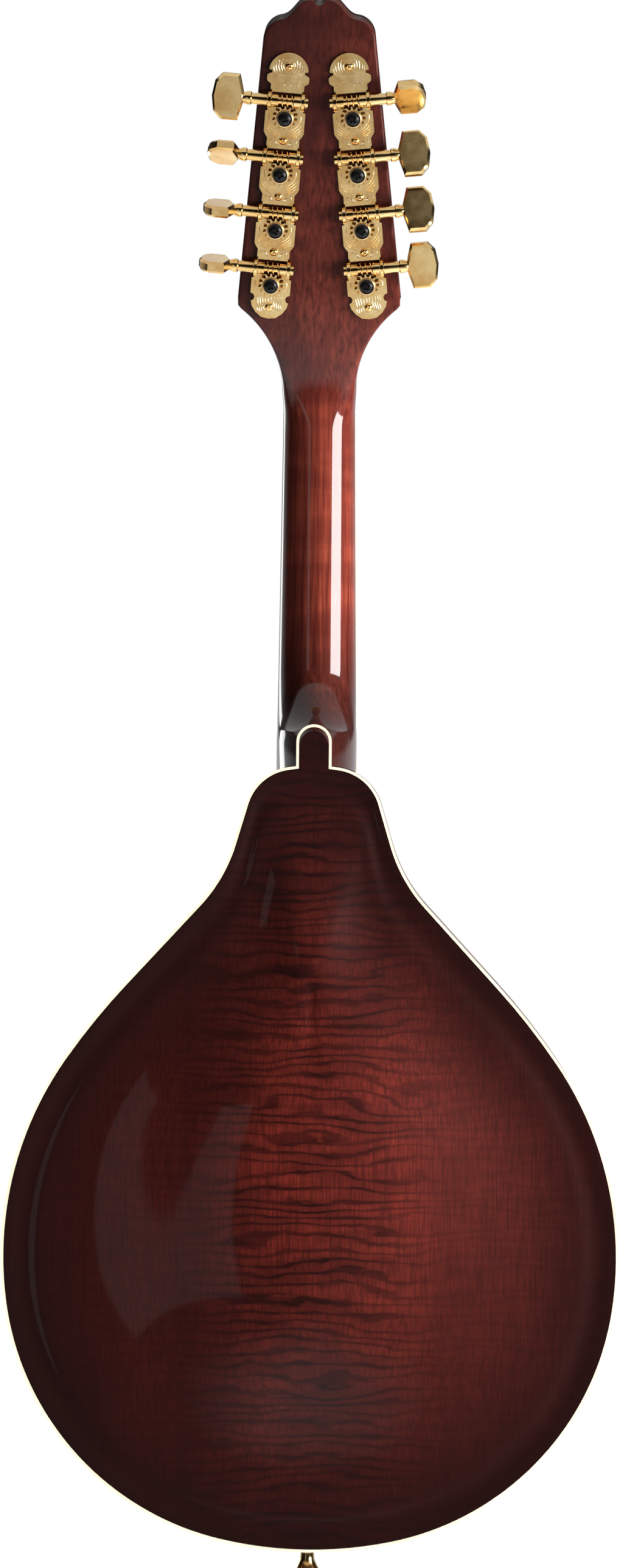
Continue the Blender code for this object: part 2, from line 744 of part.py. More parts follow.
def neck_loops():
    """Sections of the neck from below the shoulder up to the nut."""
    foot = -NECK_FREE_LENGTH
    full = RIM_BACK_Y - SHOULDER_POINT.y + 0.004
    top_of_button = foot + BUTTON_LENGTH
    shaft = NECK_DEPTH_AT_BODY
    loops = [
        neck_section(board_half_width(foot), full, BUTTON_WIDTH / 2.0, foot - 0.006, 1.0),
        neck_section(board_half_width(foot), full, BUTTON_WIDTH / 2.0, foot, 1.0),
        neck_section(board_half_width(foot), full, BUTTON_WIDTH / 2.0, foot + 0.35 * BUTTON_LENGTH, 1.0),
        neck_section(board_half_width(foot), full, 0.42 * BUTTON_WIDTH, foot + 0.72 * BUTTON_LENGTH, 1.0),
    ]
    for share in (1.0, 0.93, 0.78, 0.58, 0.34, 0.10):
        height = top_of_button + HEEL_SWEEP * (1.0 - share)
        depth = shaft + (full - shaft) * (1.0 - math.sqrt(1.0 - (share * 0.985) ** 2))
        back = BUTTON_WIDTH / 2.0 * 0.65 * share
        loops.append(neck_section(board_half_width(height), depth, back, height, share))
    for share in (0.75, 0.5, 0.25, 0.0):
        height = (top_of_button + HEEL_SWEEP) * share
        depth = NECK_DEPTH_AT_NUT + (shaft - NECK_DEPTH_AT_NUT) * share
        loops.append(neck_section(board_half_width(height), depth, 0.0, height, 0.0))
    return loops


def head_outline():
    """The head in its own frame: X across, Z up from the nut."""
    side_tan = math.tan(HEAD_SIDE_TAPER)
    corner_x = HEAD_SIDE_LOW - (HEAD_CORNER_HEIGHT - HEAD_SHOULDER_HEIGHT) * side_tan
    flare_x = NUT_WIDTH / 2.0 + 0.0006
    turn = math.acos(1.0 - (HEAD_SIDE_LOW - flare_x) / HEAD_FLARE_RADIUS)
    flare_centre = (flare_x + HEAD_FLARE_RADIUS, HEAD_FLARE_START)
    flare = arc_points(flare_centre, HEAD_FLARE_RADIUS, math.pi, math.pi - turn, 6)
    flare[-1] = (flare[-1][0] - 0.0022, flare[-1][1] - 0.0016)
    shoulder = [(HEAD_SIDE_LOW - 0.0001, flare[-1][1] + 0.0022), (HEAD_SIDE_LOW - 0.0004, flare[-1][1] + 0.0052)]
    round_centre = (corner_x - HEAD_CORNER_RADIUS, HEAD_CORNER_HEIGHT - HEAD_CORNER_RADIUS)
    corner = arc_points(round_centre, HEAD_CORNER_RADIUS, HEAD_SIDE_TAPER, math.radians(78), 5)
    rise = HEAD_LOBE_HEIGHT - corner[-1][1]
    run = corner[-1][0] - HEAD_LOBE_X
    ogee = [(corner[-1][0] - run * s, corner[-1][1] + rise * (s - math.sin(2.0 * math.pi * s) / 8.0))
            for s in (0.25, 0.45, 0.62, 0.78, 0.90)]
    lobe = [(HEAD_LOBE_X, HEAD_LOBE_HEIGHT), (HEAD_LOBE_X - 0.0014, HEAD_LOBE_HEIGHT - 0.0003)]
    notch = [(0.0014, HEAD_NOTCH_HEIGHT + 0.0004)]
    right = flare + shoulder + corner + ogee + lobe + notch
    return right + [(0.0, HEAD_NOTCH_HEIGHT)] + [(-x, z) for x, z in reversed(right)]


def shift_height(frame, x, height, turn=0.0):
    """A frame moved across a face to a place and turned about its normal."""
    return frame @ Matrix.Translation((x, 0.0, height)) @ Matrix.Rotation(turn, 4, "Y")


def tuner_places():
    """Side name, sign and index of every tuner, from the lowest post up."""
    for side, sign in (("treble", 1.0), ("bass", -1.0)):
        for index in range(TUNER_COUNT):
            yield side, sign, index


def strip_frame(sign):
    """The frame of one tuner strip: origin on the head's back at the lowest post."""
    return shift_height(HEAD_FRAME, sign * TUNER_LOWEST_X, TUNER_LOWEST_HEIGHT, -sign * TUNER_TILT)


def head_solid():
    """The head slab, its back edges rounding into the neck towards the nut."""
    bm = bmesh.new()
    outline = head_outline()
    loops = []
    for share in (0.0, 0.55, 0.85, 1.0):
        loop = []
        for x, z in outline:
            fade = min(max(z / HEAD_EDGE_ROUND_FADE, 0.0), 1.0)
            rounding = HEAD_EDGE_ROUND_AT_NUT * (1.0 - fade * fade * (3.0 - 2.0 * fade)) + HEAD_EDGE_ROUND
            inset = rounding * (1.0 - math.sqrt(1.0 - share ** 3))
            moved = math.copysign(max(abs(x) - inset, 0.0), x)
            loop.append(Vector((moved, HEAD_FACE * (1.0 - share), z)))
        loops.append(loop)
    skin(bm, loops)
    return cutter("head_slab", bm, HEAD_FRAME)


def make_neck():
    bm = bmesh.new()
    loops = neck_loops()
    last = [Vector((p.x, p.y, NUT_SEAT_LENGTH)) for p in loops[-1]]
    skin(bm, loops + [last])
    neck = finish("neck", bm, wine_maple(), NECK_FRAME)
    boolean(neck, head_solid(), "UNION")
    boolean(neck, body_prism("body_seat", SEAT_GAP, FRONT_EDGE_Y - 0.02, BACK_EDGE_Y + 0.03))
    bm = bmesh.new()
    span = BUTTON_LENGTH + 0.012
    box(bm, (-0.03, RIM_BACK_Y, SHOULDER_Z - 0.01), (0.03, RIM_BACK_Y + 0.02, SHOULDER_Z + span))
    boolean(neck, cutter("heel_flat", bm))
    boolean(neck, post_bores(POST_RADIUS + POST_BORE_CLEARANCE))
    bm = bmesh.new()
    low = HEAD_FACE_START + POCKET_FROM_NUT_EDGE
    half = ROD_POCKET_WIDTH / 2.0
    box(bm, (-half, HEAD_FACE - 0.01, low), (half, HEAD_FACE + ROD_POCKET_DEPTH, low + ROD_POCKET_LENGTH))
    boolean(neck, cutter("rod_pocket", bm, HEAD_FRAME))
    bm = bmesh.new()
    turned(bm, [(ROD_RADIUS + SEAT_GAP, -ROD_LENGTH - SEAT_GAP), (ROD_RADIUS + SEAT_GAP, ROD_END + SEAT_GAP)],
           HOLE_SIDES, "Z", (0.0, ROD_DEPTH))
    boolean(neck, cutter("rod_channel", bm, NECK_FRAME))


def post_bores(radius):
    """One cutter with all eight post holes, through head and veneer."""
    bm = bmesh.new()
    for _, sign, index in tuner_places():
        frame = HEAD_FRAME.inverted() @ strip_frame(sign)
        spot = frame @ Vector((0.0, 0.0, index * TUNER_PITCH))
        turned(bm, [(radius, HEAD_FACE - 0.01), (radius, 0.01)], HOLE_SIDES, "Y", (spot.x, spot.z))
    return cutter("post_bores", bm, HEAD_FRAME)


def make_veneer():
    bm = bmesh.new()
    outline = clip_outline(head_outline(), 1, HEAD_FACE_START + SEAT_GAP, False)
    prism(bm, outline, VENEER_FACE, HEAD_FACE - SEAT_GAP)
    veneer = finish("head_veneer", bm, black_veneer(), HEAD_FRAME)
    boolean(veneer, bpy.data.objects["post_bores"])
    bm = bmesh.new()
    half = ROD_POCKET_WIDTH / 2.0
    low = HEAD_FACE_START + WINDOW_FROM_NUT_EDGE
    high = low + ROD_POCKET_LENGTH - WINDOW_FROM_NUT_EDGE
    box(bm, (-half, HEAD_FACE - 0.01, low), (half, HEAD_FACE + 0.001, high))
    boolean(veneer, cutter("veneer_window", bm, HEAD_FRAME))


def make_fingerboard():
    """The board with its frets, which are pressed in and never move."""
    bm = bmesh.new()
    loops = []
    for height in (0.0, -NECK_FREE_LENGTH, -BOARD_END_FROM_NUT):
        half = board_half_width(height)
        chamfer = BOARD_CHAMFER
        loops.append([Vector((half, BOARD_UNDER - SEAT_GAP, height)), Vector((half, BOARD_TOP + chamfer, height)),
                      Vector((half - chamfer, BOARD_TOP, height)), Vector((chamfer - half, BOARD_TOP, height)),
                      Vector((-half, BOARD_TOP + chamfer, height)), Vector((-half, BOARD_UNDER - SEAT_GAP, height))])
    skin(bm, loops)
    board = finish("fingerboard", bm, dark_wood(), NECK_FRAME)
    bm = bmesh.new()
    for number in range(1, FRET_COUNT + 1):
        height = -fret_height(number)
        half = board_half_width(height) - SEAT_GAP
        profile = [(FRET_WIDTH / 2.0, FRET_SEAT_DEPTH), (0.3 * FRET_WIDTH, -FRET_HEIGHT),
                   (-0.3 * FRET_WIDTH, -FRET_HEIGHT), (-FRET_WIDTH / 2.0, FRET_SEAT_DEPTH)]
        ends = [[Vector((side * (half - (FRET_END_SLOPE if depth < 0.0 else 0.0)), BOARD_TOP + depth, height + along))
                 for along, depth in profile] for side in (-1.0, 1.0)]
        skin(bm, ends)
    boolean(board, cutter("frets", bm, NECK_FRAME), "UNION")


def make_nut():
    bm = bmesh.new()
    seat = BOARD_UNDER - SEAT_GAP
    crest = BOARD_TOP - NUT_HEIGHT_OVER_BOARD
    fall = NUT_LENGTH * math.tan(HEAD_PITCH * 0.7)
    profile = [(seat, SEAT_GAP), (seat, NUT_LENGTH), (crest + fall + 0.0006, NUT_LENGTH),
               (crest + fall, NUT_LENGTH - 0.0008), (crest, SEAT_GAP)]
    prism(bm, profile, -NUT_WIDTH / 2.0, NUT_WIDTH / 2.0, "X")
    finish("nut", bm, bone(), NECK_FRAME)


def make_truss_rod():
    """The rod in the neck, its nut in the pocket and the cover over the pocket."""
    bm = bmesh.new()
    turned(bm, [(ROD_RADIUS, -ROD_LENGTH), (ROD_RADIUS, ROD_END)], HOLE_SIDES, "Z", (0.0, ROD_DEPTH))
    finish("truss_rod", bm, nickel_steel(), NECK_FRAME)
    frame = NECK_FRAME @ Matrix.Translation((0.0, ROD_DEPTH, ROD_END + SEAT_GAP))
    bm = bmesh.new()
    turned(bm, [(ROD_NUT_RADIUS, 0.0), (ROD_NUT_RADIUS, ROD_NUT_LENGTH)], 6)
    finish("truss_rod_nut", bm, nickel_steel(), frame)
    half = COVER_PLATE_WIDTH / 2.0
    low = HEAD_FACE_START + COVER_PLATE_FROM_NUT_EDGE
    top = low + COVER_PLATE_LENGTH
    right = [(half, low), (half, low + 0.006), (0.62 * half, low + 0.020), (0.26 * half, top - 0.002)]
    outline = right + [(0.0, top)] + [(-x, z) for x, z in reversed(right)]
    bm = bmesh.new()
    face = VENEER_FACE - SEAT_GAP
    prism(bm, outline, face - COVER_PLATE_THICKNESS, face)
    finish("truss_rod_cover", bm, black_veneer(), HEAD_FRAME)


def strip_outline():
    """The engraved tuner strip in its own frame, from the lowest post: X across, Z up the head."""
    wide = PLATE_HALF_WIDTH
    waist = PLATE_WAIST_HALF_WIDTH
    right = [(0.0, -0.0146), (0.0030, -0.0141), (0.0055, -0.0122), (0.0072, -0.0098), (0.0078, -0.0076),
             (0.0068, -0.0070), (0.0064, -0.0058), (0.0070, -0.0047), (wide, -0.0042)]
    for index in range(TUNER_COUNT):
        post = index * TUNER_PITCH
        if index > 0:
            right += [(waist, post - 0.0088), (wide - 0.0006, post - 0.0074), (wide, post - 0.0062)]
        right += [(wide, post + 0.0022), (wide - 0.0008, post + 0.0024), (waist + 0.0004, post + 0.0032)]
    top = (TUNER_COUNT - 1) * TUNER_PITCH
    right += [(waist + 0.0002, top + 0.0133), (0.0082, top + 0.0141), (0.0086, top + 0.0150),
              (0.0086, top + 0.0167), (0.0078, top + 0.0174), (0.0067, top + 0.0178), (0.0066, top + 0.0187),
              (0.0080, top + 0.0191)]
    cap = arc_points((0.0, top + 0.0182), 0.0081, math.radians(14), math.radians(90), 6)
    right += cap[1:-1]
    return right + [cap[-1]] + [(-x, z) for x, z in reversed(right[1:])]


def make_strips():
    """The two tuner plates with the ears that carry the worms."""
    for side, sign in (("treble", 1.0), ("bass", -1.0)):
        bm = bmesh.new()
        prism(bm, strip_outline(), SEAT_GAP, SEAT_GAP + PLATE_THICKNESS)
        strip = finish(f"tuner_plate_{side}", bm, gold_metal(), strip_frame(sign))
        ears = bmesh.new()
        cuts = bmesh.new()
        for index in range(TUNER_COUNT):
            post = index * TUNER_PITCH
            worm = post + WORM_OFFSET
            profile = [(SEAT_GAP, worm - EAR_RADIUS), (SEAT_GAP, worm + EAR_RADIUS)]
            profile += arc_points((WORM_AXIS_HEIGHT, worm), EAR_RADIUS, math.pi / 2.0, -math.pi / 2.0, 4)
            for ear in (-1.0, 1.0):
                inner = ear * (EAR_SPACING - EAR_THICKNESS) / 2.0
                outer = ear * (EAR_SPACING + EAR_THICKNESS) / 2.0
                prism(ears, profile, inner, outer, "X")
            reach = EAR_SPACING / 2.0 + 0.004
            radius = SHAFT_RADIUS + SHAFT_BORE_CLEARANCE
            turned(cuts, [(radius, -reach), (radius, reach)], 6, "X", (WORM_AXIS_HEIGHT, worm))
            radius = POST_RADIUS + POST_BORE_CLEARANCE
            turned(cuts, [(radius, -0.001), (radius, 0.003)], HOLE_SIDES, "Y", (0.0, post))
            slot = WORM_TIP_RADIUS + WORM_SLOT_CLEARANCE
            side_wall = (EAR_SPACING - EAR_THICKNESS) / 2.0 - 0.0001
            box(cuts, (-side_wall, -0.001, worm - slot), (side_wall, SHAFT_RADIUS, worm + slot))
        boolean(strip, cutter(f"ears_{side}", ears, strip_frame(sign)), "UNION")
        boolean(strip, cutter(f"strip_cuts_{side}", cuts, strip_frame(sign)))


def gear_pitch_radius():
    return WORM_OFFSET - WORM_PITCH_RADIUS


def worm_lead():
    """Axial pitch of the thread: one tooth of the gear at its pitch circle."""
    return 2.0 * math.pi * gear_pitch_radius() / GEAR_TEETH


def make_gears():
    """Gear, hub and string post in one piece, turning about the post."""
    slant = GEAR_THICKNESS * worm_lead() / (2.0 * math.pi * WORM_PITCH_RADIUS * gear_pitch_radius())
    low = WORM_AXIS_HEIGHT - GEAR_THICKNESS / 2.0
    high = low + GEAR_THICKNESS
    front = VENEER_FACE
    for side, sign, index in tuner_places():
        frame = strip_frame(sign) @ Matrix.Translation((0.0, 0.0, index * TUNER_PITCH))
        bm = bmesh.new()
        loops = []
        for level, twist in ((low, -slant / 2.0), (high, slant / 2.0)):
            loop = []
            for tooth in range(GEAR_TEETH):
                centre = math.pi / 2.0 - twist - 2.0 * math.pi * tooth / GEAR_TEETH
                for radius, width in ((GEAR_ROOT_RADIUS, GEAR_TOOTH_ROOT), (GEAR_TIP_RADIUS, GEAR_TOOTH_TIP),
                                      (GEAR_TIP_RADIUS, -GEAR_TOOTH_TIP), (GEAR_ROOT_RADIUS, -GEAR_TOOTH_ROOT)):
                    angle = centre + width / 2.0 / radius
                    loop.append(Vector((radius * math.cos(angle), level, radius * math.sin(angle))))
            loops.append(loop)
        skin(bm, loops)
        name = f"tuner_gear_{side}_{index + 1}"
        gear = finish(name, bm, gold_metal(), frame)
        bm = bmesh.new()
        collar = SEAT_GAP + PLATE_THICKNESS + SEAT_GAP
        end = front - POST_STANDOUT
        profile = [(GEAR_HUB_RADIUS - 0.0003, high + GEAR_HUB_HEIGHT), (GEAR_HUB_RADIUS, high + 0.0003),
                   (GEAR_HUB_RADIUS, collar), (POST_RADIUS, collar), (POST_RADIUS, front - 0.0050),
                   (POST_RADIUS - POST_WAIST_DEPTH, front - 0.0065), (POST_RADIUS - POST_WAIST_DEPTH, front - 0.0085),
                   (POST_RADIUS, front - 0.0100), (POST_RADIUS - 0.0004, end)]
        turned(bm, profile, SHAFT_SIDES, "Y")
        boolean(gear, cutter(f"post_{side}_{index + 1}", bm, frame), "UNION")


def worm_core(bm, reach):
    """The worm between its sleeves: one thread wound on the core and fading out at both ends."""
    lead = worm_lead()
    columns = []
    for i in range(SHAFT_SIDES + 1):
        angle = 2.0 * math.pi * i / SHAFT_SIDES
        column = [(-reach, WORM_ROOT_RADIUS)]
        for number in range(-3, 3):
            middle = lead * (number + 0.75 + i / SHAFT_SIDES)
            for along, radius in ((-WORM_THREAD_ROOT, WORM_ROOT_RADIUS), (-WORM_THREAD_TIP, WORM_TIP_RADIUS),
                                  (WORM_THREAD_TIP, WORM_TIP_RADIUS), (WORM_THREAD_ROOT, WORM_ROOT_RADIUS)):
                x = middle + along / 2.0
                inside = abs(x) < reach
                column.append((x, radius) if inside else (math.copysign(reach, x), WORM_ROOT_RADIUS))
        column.append((reach, WORM_ROOT_RADIUS))
        columns.append([Vector((x, radius * math.cos(angle), radius * math.sin(angle))) for x, radius in column])
    skin(bm, columns, closed=False, caps=False)


def key_outline():
    """The flat of a tuner key: A along the shaft from its inner point, B across."""
    half = KEY_WIDTH / 2.0
    inner = 0.17 * KEY_LENGTH
    outer = 0.70 * KEY_LENGTH
    bulge = [(outer + (KEY_LENGTH - outer) * math.cos(a), half * math.sin(a))
             for a in (math.radians(40), 0.0, math.radians(-40))]
    upper = [(0.0, KEY_NECK_HALF_WIDTH), (inner, half), (outer, half)]
    return upper + bulge + [(a, -b) for a, b in reversed(upper)]


def tuner_key(bm, sign, turn):
    """A bevelled key on the shaft's outer end, turned about the shaft."""
    outline = [(sign * (KEY_FROM_GEAR + a), b) for a, b in key_outline()]
    if sign < 0:
        outline.reverse()
    inset = offset_loop(outline, -KEY_EDGE_BEVEL)
    inset = offset_loop(outline, KEY_EDGE_BEVEL) if loop_area(inset) > loop_area(outline) else inset
    half = KEY_THICKNESS / 2.0
    spin = Matrix.Rotation(turn, 4, "X")
    levels = ((inset, -half), (outline, KEY_EDGE_BEVEL - half), (outline, half - KEY_EDGE_BEVEL), (inset, half))
    skin(bm, [[spin @ Vector((a, depth, b)) for a, b in line] for line, depth in levels])


def loop_area(points):
    return abs(sum(p[0] * q[1] - q[0] * p[1] for p, q in zip(points, points[1:] + points[:1]))) / 2.0


def make_worms():
    """Worm shafts with their keys, turning in the ears of the strips."""
    ear_face = (EAR_SPACING + EAR_THICKNESS) / 2.0
    ear_inside = (EAR_SPACING - EAR_THICKNESS) / 2.0
    sleeve = SLEEVE_FROM_MIDDLE
    middle = ear_face + STEM_LENGTH
    for side, sign, index in tuner_places():
        place = (0.0, WORM_AXIS_HEIGHT, index * TUNER_PITCH + WORM_OFFSET)
        frame = strip_frame(sign) @ Matrix.Translation(place)
        inner_end = [(SHAFT_END_RADIUS, -ear_face - SHAFT_END_LENGTH), (SHAFT_END_RADIUS, -ear_face - SEAT_GAP),
                     (SHAFT_RADIUS, -ear_face - SEAT_GAP), (SHAFT_RADIUS, SEAT_GAP - ear_inside),
                     (SLEEVE_RADIUS, SEAT_GAP - ear_inside), (SLEEVE_RADIUS, -sleeve), (WORM_ROOT_RADIUS, -sleeve)]
        outer_end = [(WORM_ROOT_RADIUS, sleeve), (SLEEVE_RADIUS, sleeve),
                     (SLEEVE_RADIUS, ear_inside - SEAT_GAP), (SHAFT_RADIUS, ear_inside - SEAT_GAP),
                     (SHAFT_RADIUS, ear_face + SEAT_GAP), (COLLAR_RADIUS, ear_face + SEAT_GAP),
                     (STEM_RADIUS, middle), (BEAD_RADIUS, middle + BEAD_SHOULDER),
                     (BEAD_RADIUS, middle + BEAD_SHOULDER + BEAD_LENGTH),
                     (KEY_NECK_RADIUS, KEY_FROM_GEAR + KEY_NECK_OVERLAP)]
        bm = bmesh.new()
        for profile, end in ((inner_end, 0), (outer_end, -1)):
            loops = [ring(radius, sign * along, SHAFT_SIDES, "X") for radius, along in profile]
            rows = skin(bm, loops, caps=False)
            bm.faces.new(rows[end])
        worm_core(bm, sleeve)
        bmesh.ops.remove_doubles(bm, verts=bm.verts[:], dist=0.00001)
        worm = finish(f"tuner_worm_{side}_{index + 1}", bm, gold_metal(), frame)
        turns = KEY_TURNS_LEFT if sign > 0 else KEY_TURNS_RIGHT
        bm = bmesh.new()
        tuner_key(bm, sign, math.radians(turns[TUNER_COUNT - 1 - index]))
        boolean(worm, cutter(f"key_{side}_{index + 1}", bm, frame), "UNION")


# The strings' plane over the bridge
STRING_AT_BRIDGE = from_neck(0.0, BOARD_TOP - STRINGS_OVER_BOARD_AT_BRIDGE, -SCALE_LENGTH)
BRIDGE_Z = STRING_AT_BRIDGE.z


def foot_top_y(tree):
    """Level of the flat top of the bridge foot."""
    return outer_top_y(tree, 0.0, BRIDGE_Z) - BRIDGE_FOOT_HEIGHT


def wheel_level(tree):
    """Front face of the thumbwheels: what is left under the saddle when it is fully lowered."""
    return foot_top_y(tree) - SEAT_GAP - SADDLE_DROP - THUMBWHEEL_THICKNESS


def saddle_crest(x):
    """Level of the saddle's crest: flat under the strings, falling to its ends, and the share of that fall."""
    half = SADDLE_LENGTH / 2.0
    flat = COURSE_SPREAD_AT_BRIDGE / 2.0 + SADDLE_FLAT_PAST_STRINGS
    fall = min(max((abs(x) - flat) / (half - flat), 0.0), 1.0)
    return STRING_AT_BRIDGE.y + SEAT_GAP + SADDLE_CREST_FALL * fall, fall


def saddle_bore_end():
    """Where the saddle's post holes end, under what is left of the wood."""
    return saddle_crest(BRIDGE_POST_SPACING / 2.0)[0] + SADDLE_ROOF


def make_bridge_foot(tree):
    """The foot, fitted to the carved top, with a relief between its two feet."""
    half = BRIDGE_FOOT_LENGTH / 2.0
    flat = foot_top_y(tree)
    stations = 12
    loops = []
    for i in range(stations + 1):
        x = half * (2.0 * i / stations - 1.0)
        seat = min(outer_top_y(tree, x, BRIDGE_Z + k * BRIDGE_FOOT_THICKNESS / 2.0) for k in (-1.0, 0.0, 1.0))
        lift = BRIDGE_FOOT_LIFT if abs(x) < BRIDGE_FOOT_RELIEF / 2.0 else 0.0
        drop = max(abs(x) - 0.74 * half, 0.0) / (0.26 * half)
        top = flat + (seat - BRIDGE_FOOT_END_HEIGHT - flat) * drop ** 2
        low = -BRIDGE_FOOT_THICKNESS / 2.0
        high = BRIDGE_FOOT_THICKNESS / 2.0
        bottom = seat - SEAT_GAP - lift
        loops.append([Vector((x, bottom, BRIDGE_Z + low)), Vector((x, bottom, BRIDGE_Z + high)),
                      Vector((x, top, BRIDGE_Z + 0.85 * high)), Vector((x, top, BRIDGE_Z + 0.85 * low))])
    bm = bmesh.new()
    skin(bm, loops)
    foot = finish("bridge_foot", bm, dark_wood())
    bm = bmesh.new()
    for sign in (1.0, -1.0):
        place = (sign * BRIDGE_POST_SPACING / 2.0, BRIDGE_Z)
        radius = BRIDGE_POST_RADIUS + SEAT_GAP
        turned(bm, [(radius, flat - 0.001), (radius, flat + BRIDGE_FOOT_BORE_DEPTH)], HOLE_SIDES, "Y", place)
    boolean(foot, cutter("foot_bores", bm))
    boolean(foot, top_seat("foot_seat"))


def make_bridge_posts(tree):
    flat = foot_top_y(tree)
    for side, sign in (("treble", 1.0), ("bass", -1.0)):
        place = Matrix.Translation((sign * BRIDGE_POST_SPACING / 2.0, 0.0, BRIDGE_Z))
        bm = bmesh.new()
        top = saddle_bore_end() + SADDLE_DROP + SEAT_GAP
        base = flat + BRIDGE_FOOT_BORE_DEPTH - SEAT_GAP
        turned(bm, [(BRIDGE_POST_RADIUS, base), (BRIDGE_POST_RADIUS, top)], 10, "Y")
        finish(f"bridge_post_{side}", bm, gold_metal(), place)
        level = wheel_level(tree)
        place = Matrix.Translation((sign * BRIDGE_POST_SPACING / 2.0, level, BRIDGE_Z))
        bm = bmesh.new()
        loops = [ring(radius, depth, 14, "Y") for radius, depth in (
            (BRIDGE_POST_RADIUS + SEAT_GAP, 0.0), (THUMBWHEEL_RADIUS - THUMBWHEEL_BEVEL, 0.0),
            (THUMBWHEEL_RADIUS, THUMBWHEEL_BEVEL), (THUMBWHEEL_RADIUS, THUMBWHEEL_THICKNESS - THUMBWHEEL_BEVEL),
            (THUMBWHEEL_RADIUS - THUMBWHEEL_BEVEL, THUMBWHEEL_THICKNESS),
            (BRIDGE_POST_RADIUS + SEAT_GAP, THUMBWHEEL_THICKNESS),
            (BRIDGE_POST_RADIUS + SEAT_GAP, 0.0))]
        rows = skin(bm, loops, caps=False)
        bmesh.ops.remove_doubles(bm, verts=rows[0] + rows[-1], dist=0.00001)
        finish(f"thumbwheel_{side}", bm, gold_metal(), place)


def course_places(spread):
    """X of all eight strings across a spread, from the bass side, in four close pairs."""
    places = []
    for course in range(4):
        middle = -spread / 2.0 + spread * course / 3.0
        places += [middle - PAIR_SPACING / 2.0, middle + PAIR_SPACING / 2.0]
    return places


def make_saddle(tree):
    """The adjustable saddle: it rides on the thumbwheels and slides on the posts."""
    bottom = wheel_level(tree) - SEAT_GAP
    half = SADDLE_LENGTH / 2.0
    loops = []
    for share in (-1.0, -0.93, -0.80, -0.62, 0.0, 0.62, 0.80, 0.93, 1.0):
        x = share * half
        crest, fall = saddle_crest(x)
        thick = SADDLE_THICKNESS / 2.0
        thin = SADDLE_CREST_THICKNESS / 2.0 + (thick * 0.85 - SADDLE_CREST_THICKNESS / 2.0) * fall
        waist = crest + SADDLE_CREST_HEIGHT
        loops.append([Vector((x, bottom, BRIDGE_Z - thick)), Vector((x, bottom, BRIDGE_Z + thick)),
                      Vector((x, waist, BRIDGE_Z + thick)), Vector((x, crest, BRIDGE_Z + thin)),
                      Vector((x, crest, BRIDGE_Z - thin)), Vector((x, waist, BRIDGE_Z - thick))])
    bm = bmesh.new()
    skin(bm, loops)
    saddle = finish("bridge_saddle", bm, dark_wood())
    bm = bmesh.new()
    for sign in (1.0, -1.0):
        turned(bm, [(BRIDGE_POST_RADIUS + SEAT_GAP, bottom + 0.001),
                    (BRIDGE_POST_RADIUS + SEAT_GAP, saddle_bore_end())],
               HOLE_SIDES, "Y", (sign * BRIDGE_POST_SPACING / 2.0, BRIDGE_Z))
    boolean(saddle, cutter("saddle_bores", bm))


# The tailpiece's own frame: origin on the top's edge at the tail, its sheet rising towards the bridge
TAIL_FRAME = Matrix.Translation((0.0, FRONT_EDGE_Y - SEAT_GAP, TAIL_Z - SEAT_GAP)) \
    @ Matrix.Rotation(TAILPIECE_PITCH, 4, "X")


def make_tailpiece():
    """Bent sheet over the tail's edge, with one hook for each string, and its sliding cover."""
    apron = TAILPIECE_APRON
    sheet = TAILPIECE_SHEET
    rise = math.tan(TAILPIECE_PITCH)
    edge_y = FRONT_EDGE_Y - SEAT_GAP
    tail = TAIL_Z - SEAT_GAP
    end = tail + TAILPIECE_LENGTH
    profile = [(edge_y + apron, tail), (edge_y, tail), (edge_y - rise * TAILPIECE_LENGTH, end),
               (edge_y - rise * TAILPIECE_LENGTH - sheet, end), (edge_y - sheet, tail + 0.0004),
               (edge_y - sheet * 0.7, tail - sheet * 0.7), (edge_y, tail - sheet), (edge_y + apron, tail - sheet)]
    bm = bmesh.new()
    prism(bm, profile, -TAILPIECE_WIDTH / 2.0, TAILPIECE_WIDTH / 2.0, "X")
    frame = finish("tailpiece_frame", bm, gold_metal())
    hooks = bmesh.new()
    for x in course_places(COURSE_SPREAD_AT_TAIL):
        start = TAILPIECE_LENGTH - HOOK_FROM_END
        end = start + HOOK_LENGTH
        hook = [(-sheet * 0.5, start), (-sheet - HOOK_HEIGHT, start - HOOK_LEAN),
                (-sheet - HOOK_HEIGHT, start), (-sheet - HOOK_LEAN, end), (-sheet * 0.5, end)]
        prism(hooks, hook, x - HOOK_WIDTH / 2.0, x + HOOK_WIDTH / 2.0, "X")
    boolean(frame, cutter("hooks", hooks, TAIL_FRAME), "UNION")
    bm = bmesh.new()
    turned(bm, [(PIN_NECK_RADIUS + SEAT_GAP, TAIL_Z - 0.005), (PIN_NECK_RADIUS + SEAT_GAP, TAIL_Z + 0.002)],
           HOLE_SIDES, "Z", (0.0, RIM_MID_Y))
    boolean(frame, cutter("frame_pin_bore", bm))


def cover_section(half, depth, height, corner):
    """Half a cover's section: sides first, then the rounded crown, in X and depth."""
    right = [(half, depth), (half, -height + corner), (half - corner * 0.35, -height + corner * 0.3),
             (half - corner, -height)]
    return right + [(-x, y) for x, y in reversed(right)]


